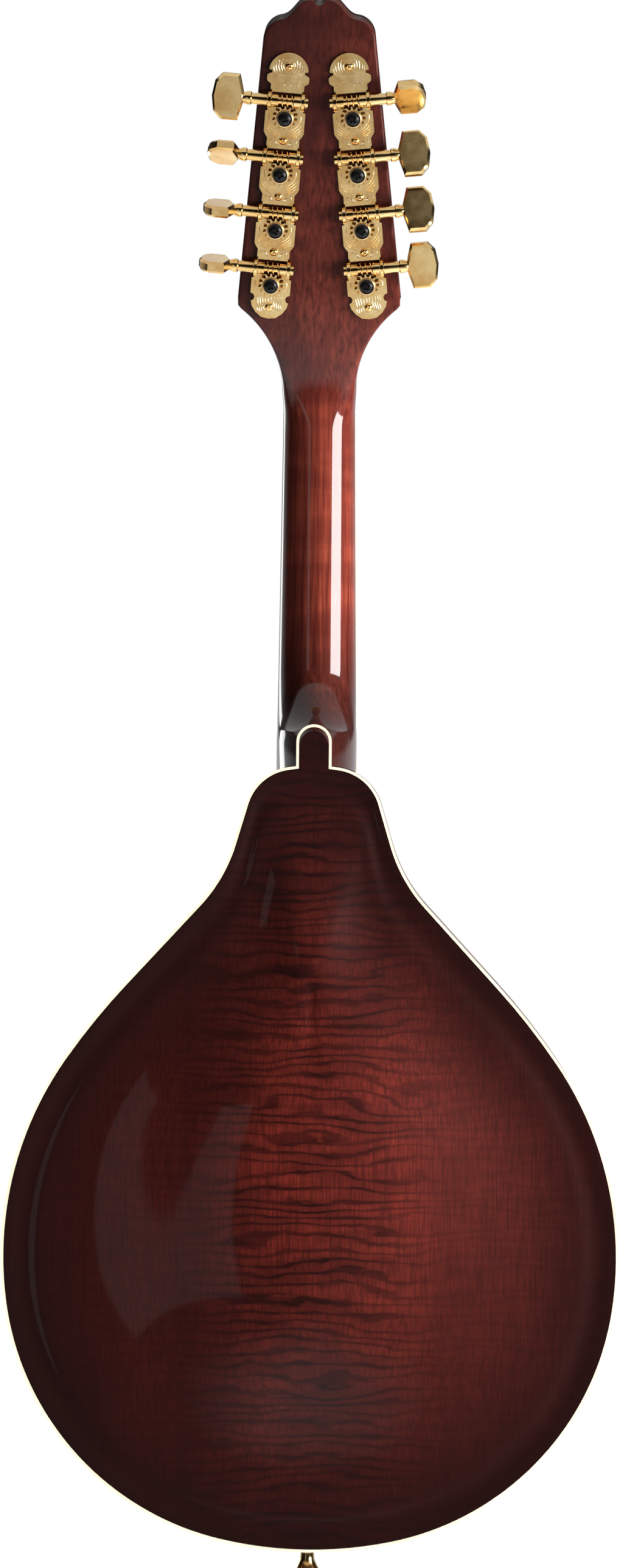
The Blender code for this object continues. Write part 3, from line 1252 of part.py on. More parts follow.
def make_tailpiece_cover():
    bm = bmesh.new()
    base = -TAILPIECE_SHEET
    skirt = COVER_SKIRT
    start = -TAILPIECE_SHEET - COVER_BEHIND_TAIL
    loops = []
    # The end wall stops short of the sheet it slides over; the sides hang past the sheet's edges
    stations = ((0.0, 0.90, 0.55, -SEAT_GAP), (0.10, 0.98, 0.86, skirt), (0.30, 1.0, 1.0, skirt),
                (0.70, 0.96, 1.0, skirt), (0.90, 0.91, 0.98, skirt), (1.0, 0.86, 0.95, skirt))
    for share, width, height, drop in stations:
        half = COVER_WIDTH / 2.0 * width
        section = cover_section(half, base + drop, COVER_HEIGHT * height - base, COVER_CORNER)
        loops.append([Vector((x, y, start + share * COVER_LENGTH)) for x, y in section])
    skin(bm, loops)
    cover = finish("tailpiece_cover", bm, gold_metal(), TAIL_FRAME)
    bm = bmesh.new()
    wall = COVER_WALL
    loops = []
    for share, width, height in ((0.012, 0.90, 0.55), (0.10, 0.98, 0.86), (0.30, 1.0, 1.0), (0.70, 0.96, 1.0),
                                 (0.90, 0.91, 0.98), (1.02, 0.86, 0.95)):
        half = COVER_WIDTH / 2.0 * width - wall
        section = cover_section(half, 0.004, COVER_HEIGHT * height - base - wall, COVER_CORNER - COVER_SKIRT)
        loops.append([Vector((x, y, start + share * COVER_LENGTH)) for x, y in section])
    skin(bm, loops)
    boolean(cover, cutter("cover_hollow", bm, TAIL_FRAME))


def make_end_pin():
    """The strap pin: a flared button on a shank that goes into the tail block."""
    face = TAIL_Z - SEAT_GAP - TAILPIECE_SHEET - SEAT_GAP
    tip = face - PIN_LENGTH
    profile = [(PIN_NECK_RADIUS - 0.0004, face + PIN_SHANK_LENGTH), (PIN_NECK_RADIUS, face),
               (PIN_NECK_RADIUS + 0.0008, face - 0.0001), (PIN_NECK_RADIUS + 0.0004, face - 0.0012),
               (PIN_NECK_RADIUS, face - 0.0030), (PIN_NECK_RADIUS + 0.0002, face - 0.0055),
               (PIN_HEAD_RADIUS - 0.0006, face - 0.0084), (PIN_HEAD_RADIUS, face - 0.0094),
               (PIN_HEAD_RADIUS - 0.0002, face - 0.0104), (PIN_HEAD_RADIUS - 0.0012, tip)]
    frame = Matrix.Translation((0.0, RIM_MID_Y, 0.0))
    bm = bmesh.new()
    turned(bm, profile, 14)
    finish("end_pin", bm, gold_metal(), frame)


def string_route(number, tree):
    """A string's bends: hook, saddle, nut and post, with its centre line."""
    radius = COURSE_RADII[number // 2]
    tail_x = course_places(COURSE_SPREAD_AT_TAIL)[number]
    place = Vector((tail_x, -TAILPIECE_SHEET - STRING_ON_HOOK - radius, TAILPIECE_LENGTH - 0.0030))
    hook = TAIL_FRAME @ place
    saddle_x = course_places(COURSE_SPREAD_AT_BRIDGE)[number]
    over_saddle = Vector((saddle_x, STRING_AT_BRIDGE.y - radius, BRIDGE_Z))
    nut_x = course_places(COURSE_SPREAD_AT_NUT)[number]
    crest = BOARD_TOP - NUT_HEIGHT_OVER_BOARD - SEAT_GAP - radius
    over_nut = from_neck(nut_x, crest, SEAT_GAP)
    fall = NUT_LENGTH * math.tan(HEAD_PITCH * 0.7)
    behind_nut = from_neck(nut_x, crest + fall - 0.0004, NUT_LENGTH)
    sign = 1.0 if number >= 4 else -1.0
    index = 7 - number if number >= 4 else number
    spot = strip_frame(sign) @ Vector((-sign * (POST_RADIUS + SEAT_GAP + radius), 0.0, index * TUNER_PITCH))
    in_head = HEAD_FRAME.inverted() @ spot
    at_post = HEAD_FRAME @ Vector((in_head.x, VENEER_FACE - STRING_ON_POST, in_head.z))
    return radius, [hook, over_saddle, over_nut, behind_nut, at_post]


def make_strings(tree):
    """Eight strings along their real route, each bend eased by two points."""
    for number in range(8):
        radius, bends = string_route(number, tree)
        points = [bends[0]]
        for before, here, after in zip(bends, bends[1:], bends[2:]):
            points += [here + (near - here).normalized() * STRING_BEND for near in (before, after)]
        points.append(bends[-1])
        curve = bpy.data.curves.new(f"string_{number + 1}", "CURVE")
        curve.dimensions = "3D"
        curve.bevel_depth = radius
        curve.bevel_resolution = 1
        curve.use_fill_caps = True
        spline = curve.splines.new("POLY")
        spline.points.add(len(points) - 1)
        for point, place in zip(spline.points, points):
            point.co = (*place, 1.0)
        curve.materials.append(nickel_steel())
        obj = bpy.data.objects.new(f"string_{number + 1}", curve)
        bpy.context.collection.objects.link(obj)


def make_board_riser(tree):
    """The wedge that carries the board over the top, fitted to the carving."""
    bm = bmesh.new()
    loops = []
    steps = 6
    last = -BOARD_END_FROM_NUT + 0.0015
    first = -NECK_FREE_LENGTH + 0.004
    for i in range(steps + 1):
        height = first + (last - first) * i / steps
        half = board_half_width(max(height, -NECK_FREE_LENGTH)) - 0.0020
        loop = [from_neck(side * half, BOARD_UNDER, height) for side in (-1.0, 1.0)]
        under = []
        for share in (1.0, 0.0, -1.0):
            corner = from_neck(share * half, BOARD_UNDER, height)
            level = min(outer_top_y(tree, corner.x, corner.z + k) for k in (-0.002, 0.0, 0.002))
            under.append(Vector((corner.x, max(level - SEAT_GAP, corner.y + 0.0008), corner.z)))
        loops.append(loop + under)
    skin(bm, loops)
    riser = finish("board_riser", bm, wine_maple())
    boolean(riser, body_prism("riser_seat", 0.0, FRONT_EDGE_Y - 0.03, FRONT_EDGE_Y + 0.01), "INTERSECT")
    boolean(riser, top_seat("riser_top_seat"))


def main():
    clear_scene()
    make_back_plate()
    tree = make_top_plate()
    make_bindings()
    make_rim()
    make_blocks()
    make_linings()
    make_brace(tree)
    make_neck()
    make_veneer()
    make_fingerboard()
    make_board_riser(tree)
    make_nut()
    make_truss_rod()
    make_bridge_foot(tree)
    make_bridge_posts(tree)
    make_saddle(tree)
    make_tailpiece()
    make_tailpiece_cover()
    make_end_pin()
    make_strings(tree)
    make_strips()
    make_gears()
    make_worms()


main()
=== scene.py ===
"""Looks of the a-style mandolin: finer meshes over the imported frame, materials, light and camera.

Lengths are in metres, in the frame of the solids: +Z runs up the neck, the strings face -Y.
"""
import bpy
import bmesh
import json
import math
from mathutils import Matrix, Vector
from mathutils.bvhtree import BVHTree

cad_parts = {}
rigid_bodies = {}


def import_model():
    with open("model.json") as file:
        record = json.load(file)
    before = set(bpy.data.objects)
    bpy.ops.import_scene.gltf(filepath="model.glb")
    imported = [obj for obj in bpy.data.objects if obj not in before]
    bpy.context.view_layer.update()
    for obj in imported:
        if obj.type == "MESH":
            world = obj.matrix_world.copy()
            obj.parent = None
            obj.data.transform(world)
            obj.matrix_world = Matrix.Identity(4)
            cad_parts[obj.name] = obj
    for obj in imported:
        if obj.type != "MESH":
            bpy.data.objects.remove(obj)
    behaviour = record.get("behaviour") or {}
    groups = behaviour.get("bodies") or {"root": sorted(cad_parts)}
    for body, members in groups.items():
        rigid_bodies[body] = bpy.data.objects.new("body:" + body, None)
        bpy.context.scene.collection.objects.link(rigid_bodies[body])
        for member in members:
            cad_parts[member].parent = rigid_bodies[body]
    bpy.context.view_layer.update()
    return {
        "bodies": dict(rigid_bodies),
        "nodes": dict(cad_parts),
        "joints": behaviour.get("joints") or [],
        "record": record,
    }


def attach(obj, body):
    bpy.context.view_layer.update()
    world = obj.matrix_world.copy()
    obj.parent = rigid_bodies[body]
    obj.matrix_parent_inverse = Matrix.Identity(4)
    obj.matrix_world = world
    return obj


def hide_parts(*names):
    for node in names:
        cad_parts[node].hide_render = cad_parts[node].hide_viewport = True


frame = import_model()

# Clearance between pieces that touch
SEAT_GAP = 0.0003

# Neck and head
SCALE_LENGTH = 0.352
FRET_COUNT = 20
NECK_FREE_LENGTH = 0.1583
HEAD_PITCH = math.radians(15.0)
NUT_WIDTH = 0.0300
NECK_WIDTH_AT_BODY = 0.0340
NECK_DEPTH_AT_NUT = 0.0138
NECK_DEPTH_AT_BODY = 0.0165
HEEL_SWEEP = 0.027
BOARD_THICKNESS = 0.0050
BOARD_RISE = 0.0040
NUT_LENGTH = 0.0045
NUT_HEIGHT_OVER_BOARD = 0.0013
BOARD_PAST_LAST_FRET = 0.0035
NECK_SECTION_STEPS = 48
SHAFT_STEPS = 16
# Gaps between the linings' ends and the blocks
LINING_FROM_HEAD_BLOCK = 0.002
LINING_FROM_TAIL_BLOCK = 0.001
# Bevels of the tuners, and how far the string post's waist stands out of the head's front
HUB_BEVEL = 0.0003
POST_END_BEVEL = 0.0004
POST_WAIST_STANDOUT = (0.0050, 0.0065, 0.0085, 0.0100)
WORM_MERGE_DISTANCE = 0.00001
KEY_INNER_SHARE = 0.17
KEY_OUTER_SHARE = 0.70
KEY_END_TURN = math.radians(40.0)
# The bridge foot: its stations, the flat share of its half length and the width of its top
FOOT_STATIONS = 48
FOOT_FLAT_SHARE = 0.74
FOOT_TOP_SHARE = 0.85
# How round the back of the neck and of the heel is, and how the heel's sides run in to its back
NECK_BACK_POWER = 0.85
HEEL_BACK_POWER = 0.50
HEEL_SIDE_POWER = 0.55
HEEL_TAPER_POWER = 1.4
HEEL_STEPS = 30
HEEL_CURVE_SHARE = 0.985
HEEL_BACK_WIDTH_SHARE = 0.65
HEEL_SPARE_DEPTH = 0.004
HEEL_INTO_BODY = 0.006
HEEL_FLAT_PAST_BUTTON = 0.012

# Head plate, seen from behind
HEAD_PAST_NUT = 0.0006
HEAD_PAST_NUT_FADE = 0.012
HEAD_CORNER_END = math.radians(78.0)
HEAD_OGEE_SHARES = (0.08, 0.16, 0.25, 0.35, 0.45, 0.54, 0.62, 0.70, 0.78, 0.84, 0.90, 0.95)
VENEER_THICKNESS = 0.0015
HEAD_SIDE_LOW = 0.0342
HEAD_SIDE_TAPER = math.radians(5.57)
HEAD_SHOULDER_HEIGHT = 0.0383
HEAD_CORNER_HEIGHT = 0.1553
HEAD_LOBE_HEIGHT = 0.1630
HEAD_NOTCH_HEIGHT = 0.1608
HEAD_LOBE_X = 0.0040
HEAD_CORNER_RADIUS = 0.0085
HEAD_FLARE_RADIUS = 0.045
HEAD_FLARE_START = 0.0008
HEAD_EDGE_ROUND_FADE = 0.030

# Body outline from the tail up one side: arcs by radius and turn, straights by length
TAIL_ARC = (0.166, math.radians(12.5))
LOWER_BOUT_ARC = (0.1172, math.radians(69.3))
WAIST_ARC = (0.1435, math.radians(42.8))
UPPER_BOUT_ARC = (0.286, math.radians(8.0))
SLOPE_LENGTH = 0.0449
NECK_SIDE_ARC = (-0.0644, math.radians(26.0))
NECK_SIDE_LENGTH = 0.0176
SHOULDER_ARC = (0.0214, math.radians(65.8))

# Body depths
RIM_DEPTH = 0.0365
RIM_THICKNESS = 0.0022
PLATE_EDGE = 0.0040
PLATE_CENTRE_THICKNESS = 0.0050
PLATE_RECURVE_THICKNESS = 0.0032
BACK_ARCH = 0.0145
TOP_ARCH = 0.0135
RECURVE_DIP = 0.0007
RECURVE_WIDTH = 0.016
RECURVE_STEPS = 8
ARCH_STEPS = 18
INNER_ARCH_SHARES = (0.1, 0.2, 0.33, 0.48, 0.66, 0.83, 1.0)
ARCH_FALL_TO_NECK = 0.55
SPINE_MERGE_DISTANCE = 0.00002
SPINE_TAIL_END = 0.118
SPINE_NECK_END = 0.236
BINDING_THICKNESS = 0.0011
LINING_WIDTH = 0.0060
LINING_HEIGHT = 0.0080
HEAD_BLOCK_LENGTH = 0.046
HEAD_BLOCK_WIDTH = 0.048
TAIL_BLOCK_LENGTH = 0.020
TAIL_BLOCK_WIDTH = 0.062
BUTTON_WIDTH = 0.0146
BUTTON_LENGTH = 0.0174
BUTTON_OVERLAP = 0.002
SOUNDHOLE_WIDTH = 0.057
SOUNDHOLE_LENGTH = 0.041
SOUNDHOLE_PAST_BOARD = 0.0030
SOUNDHOLE_SIDES = 96
BRACE_WIDTH = 0.0075
BRACE_HEIGHT = 0.0095
BRACE_BELOW_SOUNDHOLE = 0.013
BRACE_SHORT_OF_LINING = 0.004
BRACE_FITTING_BITE = 0.0006

# Bridge
BRIDGE_FOOT_LENGTH = 0.112
BRIDGE_FOOT_THICKNESS = 0.0100
BRIDGE_FOOT_HEIGHT = 0.0060
BRIDGE_FOOT_RELIEF = 0.046
BRIDGE_FOOT_LIFT = 0.0014
BRIDGE_FOOT_END_HEIGHT = 0.0030
BRIDGE_FOOT_BORE_DEPTH = 0.0050
BRIDGE_POST_SPACING = 0.066
BRIDGE_POST_RADIUS = 0.0019
SADDLE_LENGTH = 0.086
SADDLE_DROP = 0.0012
SADDLE_THICKNESS = 0.0070
SADDLE_CREST_THICKNESS = 0.0028
THUMBWHEEL_RADIUS = 0.0060
THUMBWHEEL_THICKNESS = 0.0022
THUMBWHEEL_BEVEL = 0.0004
STRINGS_OVER_BOARD_AT_BRIDGE = 0.0042
STRINGS_OVER_EDGE_AT_BRIDGE = 0.0300
SADDLE_ROOF = 0.0010
SADDLE_CREST_HEIGHT = 0.0016
SADDLE_CREST_FALL = 0.0034
SADDLE_FLAT_PAST_STRINGS = 0.0055

# Tailpiece and end pin
TAILPIECE_LENGTH = 0.040
TAILPIECE_SHEET = 0.0012
TAILPIECE_PITCH = math.radians(7.0)
PIN_NECK_RADIUS = 0.0028
PIN_HEAD_RADIUS = 0.0048
PIN_LENGTH = 0.0115
PIN_SHANK_LENGTH = 0.019

# Strings, from the bass side: radius of each course, and the spread at nut, bridge and tail
COURSE_RADII = (0.00052, 0.00044, 0.00028, 0.00022)
COURSE_SPREAD_AT_NUT = 0.0235
COURSE_SPREAD_AT_BRIDGE = 0.0375
COURSE_SPREAD_AT_TAIL = 0.0210
PAIR_SPACING = 0.0025
STRING_ON_HOOK = 0.0022
STRING_ON_POST = 0.0072
STRING_BEND = 0.0012

# Tuners: one plate down each side of the head
TUNER_PITCH = 0.0231
TUNER_COUNT = 4
TUNER_LOWEST_HEIGHT = 0.0468
TUNER_LOWEST_X = 0.0199
TUNER_TILT = math.radians(4.95)
PLATE_THICKNESS = 0.0011
PLATE_HALF_WIDTH = 0.0082
PLATE_WAIST_HALF_WIDTH = 0.0066
EAR_SPACING = 0.0137
EAR_THICKNESS = 0.0013
EAR_RADIUS = 0.0036
WORM_OFFSET = 0.0070
WORM_AXIS_HEIGHT = 0.0036
WORM_TIP_RADIUS = 0.0027
WORM_ROOT_RADIUS = 0.0016
WORM_PITCH_RADIUS = 0.0024
WORM_THREAD_TIP = 0.00045
WORM_THREAD_ROOT = 0.00100
GEAR_TEETH = 14
GEAR_TIP_RADIUS = 0.0051
GEAR_ROOT_RADIUS = 0.0039
GEAR_THICKNESS = 0.0022
GEAR_TOOTH_TIP = 0.00050
GEAR_TOOTH_ROOT = 0.00095
GEAR_HUB_RADIUS = 0.0034
GEAR_HUB_HEIGHT = 0.0007
SHAFT_RADIUS = 0.0015
SHAFT_END_RADIUS = 0.0022
SHAFT_END_LENGTH = 0.0014
SHAFT_BORE_CLEARANCE = 0.0003
SLEEVE_RADIUS = 0.0025
SLEEVE_FROM_MIDDLE = 0.0032
COLLAR_RADIUS = 0.0027
STEM_RADIUS = 0.0022
STEM_LENGTH = 0.0066
BEAD_RADIUS = 0.0028
BEAD_SHOULDER = 0.0004
BEAD_LENGTH = 0.0012
KEY_NECK_HALF_WIDTH = 0.0012
KEY_NECK_RADIUS = 0.0016
KEY_NECK_OVERLAP = 0.0020
WORM_SLOT_CLEARANCE = 0.0004
POST_RADIUS = 0.0030
POST_STANDOUT = 0.0140
POST_BORE_CLEARANCE = 0.0006
POST_WAIST_DEPTH = 0.0005
KEY_FROM_GEAR = 0.0172
KEY_LENGTH = 0.0132
KEY_WIDTH = 0.0187
KEY_THICKNESS = 0.0045
KEY_EDGE_BEVEL = 0.0009
# Turn of each key about its shaft as the photograph shows it, from the top of the head down
KEY_TURNS_LEFT = (0.0, -60.0, 90.0, 90.0)
KEY_TURNS_RIGHT = (-45.0, 28.0, 28.0, 0.0)

# Truss rod
ROD_RADIUS = 0.0020
ROD_POCKET_WIDTH = 0.0095
ROD_POCKET_LENGTH = 0.0200
ROD_POCKET_DEPTH = 0.0085
ROD_SHORT_OF_BODY = 0.0083
ROD_UNDER_BOARD = 0.0022
ROD_PAST_NUT = 0.0030
POCKET_FROM_NUT_EDGE = 0.0012
WINDOW_FROM_NUT_EDGE = 0.0030
COVER_PLATE_FROM_NUT_EDGE = 0.0016
COVER_PLATE_THICKNESS = 0.0014

# Fineness of curves
ARC_STEP = math.radians(2.0)
HOLE_SIDES = 32
SHAFT_SIDES = 24
ROUND_SIDES = 48
SHARPEST_MITRE = 0.3
# How far a cutting tool reaches past what it cuts: body, head and tuner plates
BODY_TOOL_REACH = 0.02
HEAD_TOOL_REACH = 0.01
PLATE_TOOL_REACH = 0.001
STRING_COUNT = 8
# How far the bend between neck and head is eased, and how square the head's section is
BEND_EASE = 0.007
HEAD_SQUARENESS = 0.05
FLOW_START = -0.018
FLOW_STEP = 0.0015
FLOW_ROWS = 38
SQUARE_FROM_NUT = 0.016
SQUARE_FADE = 0.050


# Materials
class Shader:
    """A material's node tree, with short ways to add and join nodes."""

    def __init__(self, name):
        self.material = bpy.data.materials.new(name)
        self.material.use_nodes = True
        self.tree = self.material.node_tree
        self.surface = self.tree.nodes["Principled BSDF"]
        self.place = self.tree.nodes.new("ShaderNodeTexCoord").outputs["Object"]

    def add(self, kind, inputs=(), **settings):
        """A node of a kind, with its inputs linked or set."""
        node = self.tree.nodes.new(kind)
        for key, value in settings.items():
            setattr(node, key, value)
        for key, value in dict(inputs).items():
            self.give(node.inputs[key], value)
        return node

    def give(self, socket, value):
        """Link a socket to another one, or set it to a number or a colour."""
        if isinstance(value, bpy.types.NodeSocket):
            self.tree.links.new(value, socket)
        elif isinstance(value, tuple) and len(value) == 3 and socket.type == "RGBA":
            socket.default_value = (*value, 1.0)
        else:
            socket.default_value = value

    def set(self, **values):
        """Inputs of the surface shader."""
        for key, value in values.items():
            self.give(self.surface.inputs[key.replace("_", " ")], value)

    def split(self):
        """The X, Y and Z of the place on the object."""
        return self.add("ShaderNodeSeparateXYZ", {"Vector": self.place}).outputs[:]

    def stretched(self, scale, shift=(0.0, 0.0, 0.0)):
        settings = {"Vector": self.place, "Scale": scale, "Location": shift}
        return self.add("ShaderNodeMapping", settings).outputs[0]

    def noise(self, scale, detail=3.0, roughness=0.5, distortion=0.0, shift=(0.0, 0.0, 0.0)):
        """Noise with an even scale, or stretched by a scale for each axis."""
        even = not isinstance(scale, tuple)
        node = self.add("ShaderNodeTexNoise", {"Vector": self.place if even else self.stretched(scale, shift),
                                               "Scale": scale if even else 1.0, "Detail": detail,
                                               "Roughness": roughness, "Distortion": distortion})
        return node.outputs["Fac"]

    def bands(self, vector, **inputs):
        """Waves that run up the object's height."""
        node = self.add("ShaderNodeTexWave", {"Vector": vector}, wave_type="BANDS", bands_direction="Z",
                        wave_profile="SIN")
        for key, value in inputs.items():
            self.give(node.inputs[key.replace("_", " ")], value)
        return node.outputs["Fac"]

    def ramp(self, value, *stops):
        """A value or colour for each stop, and even steps between them."""
        node = self.add("ShaderNodeValToRGB", {"Fac": value})
        marks = node.color_ramp.elements
        while len(marks) < len(stops):
            marks.new(0.5)
        for mark, (place, colour) in zip(marks, stops):
            mark.position = place
            mark.color = (*colour, 1.0) if isinstance(colour, tuple) else (colour, colour, colour, 1.0)
        return node.outputs["Color"]

    def math(self, operation, a, b=0.0):
        return self.add("ShaderNodeMath", {0: a, 1: b}, operation=operation).outputs[0]

    def times(self, first, *others):
        """The product of all that is given."""
        for other in others:
            first = self.math("MULTIPLY", first, other)
        return first

    def mix(self, share, a, b):
        node = self.add("ShaderNodeMix", data_type="RGBA", blend_type="MIX")
        self.give(node.inputs["Factor"], share)
        colours = [socket for socket in node.inputs if socket.type == "RGBA"]
        self.give(colours[0], a)
        self.give(colours[1], b)
        return [socket for socket in node.outputs if socket.type == "RGBA"][0]

    def between(self, value, low, high, a, b):
        """The first colour where a value is low, turning into the second where it is high."""
        return self.mix(self.ramp(value, (low, 0.0), (high, 1.0)), a, b)

    def bump(self, height, strength, distance):
        node = self.add("ShaderNodeBump", {"Height": height, "Strength": strength, "Distance": distance})
        self.give(self.surface.inputs["Normal"], node.outputs[0])

    def from_edge(self, reach):
        """0 at the body's edge, and 1 from a reach in from it."""
        inset = self.add("ShaderNodeAttribute", attribute_name="inset").outputs["Fac"]
        return self.times(inset, 1.0 / reach)

    def lacquer(self, tone, ior, roughness, weight=1.0, specular=0.08):
        """A colour under a clear coat, which alone mirrors the room."""
        self.set(Base_Color=tone, Roughness=0.5, Coat_Weight=weight, Coat_Roughness=roughness, Coat_IOR=ior,
                 Specular_IOR_Level=specular)


def material(name):
    """Turns a function that fills a shader into one that gives the material, built once."""
    def wrap(fill):
        def give():
            found = bpy.data.materials.get(name)
            if found is None:
                shader = Shader(name)
                fill(shader)
                found = shader.material
            return found
        return give
    return wrap


def flamed_maple(s, dark, middle, bright, flame_depth, flame_half):
    """Short dark cross ripples over long grain, strongest near the centre seam."""
    side = s.math("ABSOLUTE", s.split()[0])
    ripple = s.bands(s.stretched((0.26, 0.26, 1.0)), Scale=66.0, Distortion=15.0, Detail=4.0,
                     Detail_Scale=1.1)
    broad = s.noise((26.0, 26.0, 120.0), 3.0, 0.55, 0.8, shift=(3.0, 0.0, 5.0))
    grain = s.noise((1300.0, 1300.0, 60.0), 4.0, 0.7)
    fleck = s.noise((1500.0, 900.0, 260.0), 2.0)
    wave = s.ramp(ripple, (0.08, 0.0), (0.34, 0.78), (0.80, 1.0))
    wide = s.ramp(broad, (0.40, 0.0), (0.60, 1.0))
    flame = s.math("ADD", s.times(wave, 0.62), s.times(wide, 0.38))
    from_seam = s.math("DIVIDE", side, flame_half)
    near = s.ramp(from_seam, (0.0, 1.0), (0.50, 0.85), (1.0, 0.28))
    lit = s.math("SUBTRACT", 1.0, s.times(s.math("SUBTRACT", 1.0, flame), s.times(near, flame_depth)))
    board = s.noise((34.0, 34.0, 2.5), 2.0, shift=(1.0, 2.0, 3.0))
    lit = s.times(lit, s.ramp(from_seam, (0.55, 1.0), (1.0, 0.66)), s.ramp(board, (0.36, 0.62), (0.62, 1.0)))
    tone = s.mix(lit, dark, bright)
    tone = s.mix(s.ramp(grain, (0.36, 0.75), (0.60, 0.0)), tone, middle)
    return s.mix(s.times(fleck, 0.4), tone, dark), grain


@material("back_maple")
def back_maple(s):
    """Flamed maple under a burst that darkens towards the edge, the tail and the neck, with painted shade
    darkening the right.
    """
    tone, grain = flamed_maple(s, (0.006, 0.0012, 0.0012), (0.034, 0.0042, 0.0032), (0.160, 0.0185, 0.0115),
                               flame_depth=1.0, flame_half=0.058)
    cloud = s.noise((14.4, 9.0, 6.3), 2.0)
    x, y, z = s.split()
    from_tail = s.times(s.math("SUBTRACT", z, TAIL_Z), 1.0 / BODY_LENGTH)
    # Painted shade: the right (+X) side is darkened as if the light fell from the other side.
    towards_shaded_side = s.math("ADD", s.times(x, 0.5 / BODY_HALF_WIDTH), 0.5)
    burst = s.times(s.ramp(s.from_edge(1.0 / 14.0), (0.0, 0.10), (0.20, 0.30), (0.60, 0.85), (1.0, 1.0)),
                    s.ramp(cloud, (0.25, 0.70), (0.70, 1.15)),
                    s.ramp(from_tail, (0.0, 0.45), (0.30, 0.72), (0.52, 1.0), (0.80, 0.70)),
                    s.ramp(towards_shaded_side, (0.40, 1.0), (0.62, 0.92), (0.90, 0.50)))
    s.lacquer(s.mix(burst, (0.0075, 0.0022, 0.0020), tone), 1.25, 0.05)
    s.bump(grain, 0.06, 0.0002)


@material("side_maple")
def side_maple(s):
    tone, grain = flamed_maple(s, (0.012, 0.0025, 0.0022), (0.030, 0.0050, 0.0040), (0.070, 0.0100, 0.0070),
                               flame_depth=0.8, flame_half=0.30)
    s.lacquer(tone, 1.32, 0.12, weight=0.8)
    s.bump(grain, 0.05, 0.0002)


@material("neck_maple")
def neck_maple(s):
    """Straight-grained maple, darker on the head, with painted shade at the heel and down the right (+X)
    side, and less lacquer on the head.
    """
    x, y, z = s.split()
    grain = s.noise((760.0, 760.0, 14.0), 4.0, 0.6, 0.4)
    ray = s.noise((900.0, 900.0, 120.0), 2.0)
    ripple = s.noise((18.0, 18.0, 70.0), 2.0, 0.5, 0.8, shift=(2.0, 1.0, 4.0))
    cloud = s.noise((70.0, 70.0, 6.0))
    tone = s.between(grain, 0.30, 0.70, (0.072, 0.0095, 0.0064), (0.370, 0.0680, 0.0370))
    tone = s.mix(s.times(ray, 0.35), tone, (0.045, 0.006, 0.005))
    tone = s.mix(s.ramp(ripple, (0.38, 0.45), (0.62, 0.0)), tone, (0.060, 0.007, 0.006))
    tone = s.mix(s.ramp(cloud, (0.36, 0.60), (0.60, 0.0)), tone, (0.045, 0.005, 0.004))
    # Painted shade: the heel is darkened where it meets the body, and the right (+X) side as if lit from the
    # other side; the head is darker too.
    from_heel = s.times(s.math("ADD", z, 0.20), 2.7)
    towards_shaded_side = s.math("ADD", s.times(x, 25.0), 0.5)
    shade = s.times(s.ramp(from_heel, (0.0, 0.04), (0.19, 0.14), (0.30, 0.85), (0.52, 0.86), (0.64, 0.46),
                           (0.97, 0.20)),
                    s.ramp(towards_shaded_side, (0.48, 1.0), (0.86, 0.48)))
    s.lacquer(s.mix(shade, (0.012, 0.003, 0.0025), tone), 1.5, 0.06,
              weight=s.ramp(from_heel, (0.55, 1.0), (0.66, 0.20)), specular=0.05)
    s.bump(grain, 0.05, 0.0002)


@material("top_spruce")
def burst_spruce(s):
    """Close straight spruce grain, honey in the middle and dark wine towards the edge."""
    line = s.noise((900.0, 1.0, 3.0), 2.0)
    cloud = s.noise((11.0, 11.0, 6.6), 2.0)
    honey = s.between(line, 0.30, 0.66, (0.42, 0.165, 0.042), (0.58, 0.270, 0.082))
    wine = s.between(line, 0.36, 0.60, (0.016, 0.003, 0.002), (0.040, 0.006, 0.004))
    burst = s.times(s.ramp(s.from_edge(1.0 / 12.0), (0.0, 0.0), (0.22, 0.12), (0.62, 0.60), (1.0, 1.0)),
                    s.ramp(cloud, (0.2, 0.82), (0.7, 1.05)))
    s.lacquer(s.mix(burst, wine, honey), 1.32, 0.10)
    s.bump(line, 0.08, 0.0002)


@material("raw_spruce")
def bare_spruce(s):
    line = s.noise((520.0, 260.0, 5.0), 3.0, 0.6)
    pore = s.noise(900.0, 2.0)
    s.set(Base_Color=s.between(line, 0.35, 0.62, (0.42, 0.26, 0.12), (0.66, 0.48, 0.27)),
          Roughness=s.ramp(pore, (0.3, 0.55), (0.7, 0.75)))
    s.bump(line, 0.25, 0.0003)


@material("ivory_binding")
def cream_binding(s):
    cloud = s.noise(24.0)
    line = s.noise((60.0, 900.0, 60.0), 2.0)
    tone = s.between(cloud, 0.3, 0.7, (0.80, 0.66, 0.46), (0.92, 0.82, 0.64))
    s.set(Base_Color=s.mix(s.times(line, 0.25), tone, (0.66, 0.50, 0.30)), Roughness=0.30, Coat_Weight=0.6,
          Coat_Roughness=0.05, Subsurface_Weight=0.06, Subsurface_Scale=0.002)
    s.bump(cloud, 0.03, 0.0002)


@material("ebony")
def dark_wood(s):
    grain = s.noise((900.0, 900.0, 14.0), 4.0, 0.65)
    pore = s.ramp(s.noise((2600.0, 2600.0, 90.0), 2.0), (0.30, 0.0), (0.42, 1.0))
    s.set(Base_Color=s.between(grain, 0.3, 0.72, (0.010, 0.006, 0.004), (0.040, 0.022, 0.014)),
          Roughness=s.ramp(grain, (0.3, 0.40), (0.7, 0.55)), Specular_IOR_Level=0.25)
    s.bump(pore, 0.12, 0.00012)


@material("black_lacquer")
def black_veneer(s):
    cloud = s.noise(30.0)
    mark = s.noise((500.0, 500.0, 12.0))
    s.set(Base_Color=s.between(mark, 0.3, 0.7, (0.008, 0.007, 0.007), (0.018, 0.016, 0.016)),
          Roughness=s.ramp(cloud, (0.3, 0.30), (0.7, 0.42)), Specular_IOR_Level=0.15, Coat_Weight=1.0,
          Coat_Roughness=0.06, Coat_IOR=1.3)
    s.bump(mark, 0.04, 0.0001)


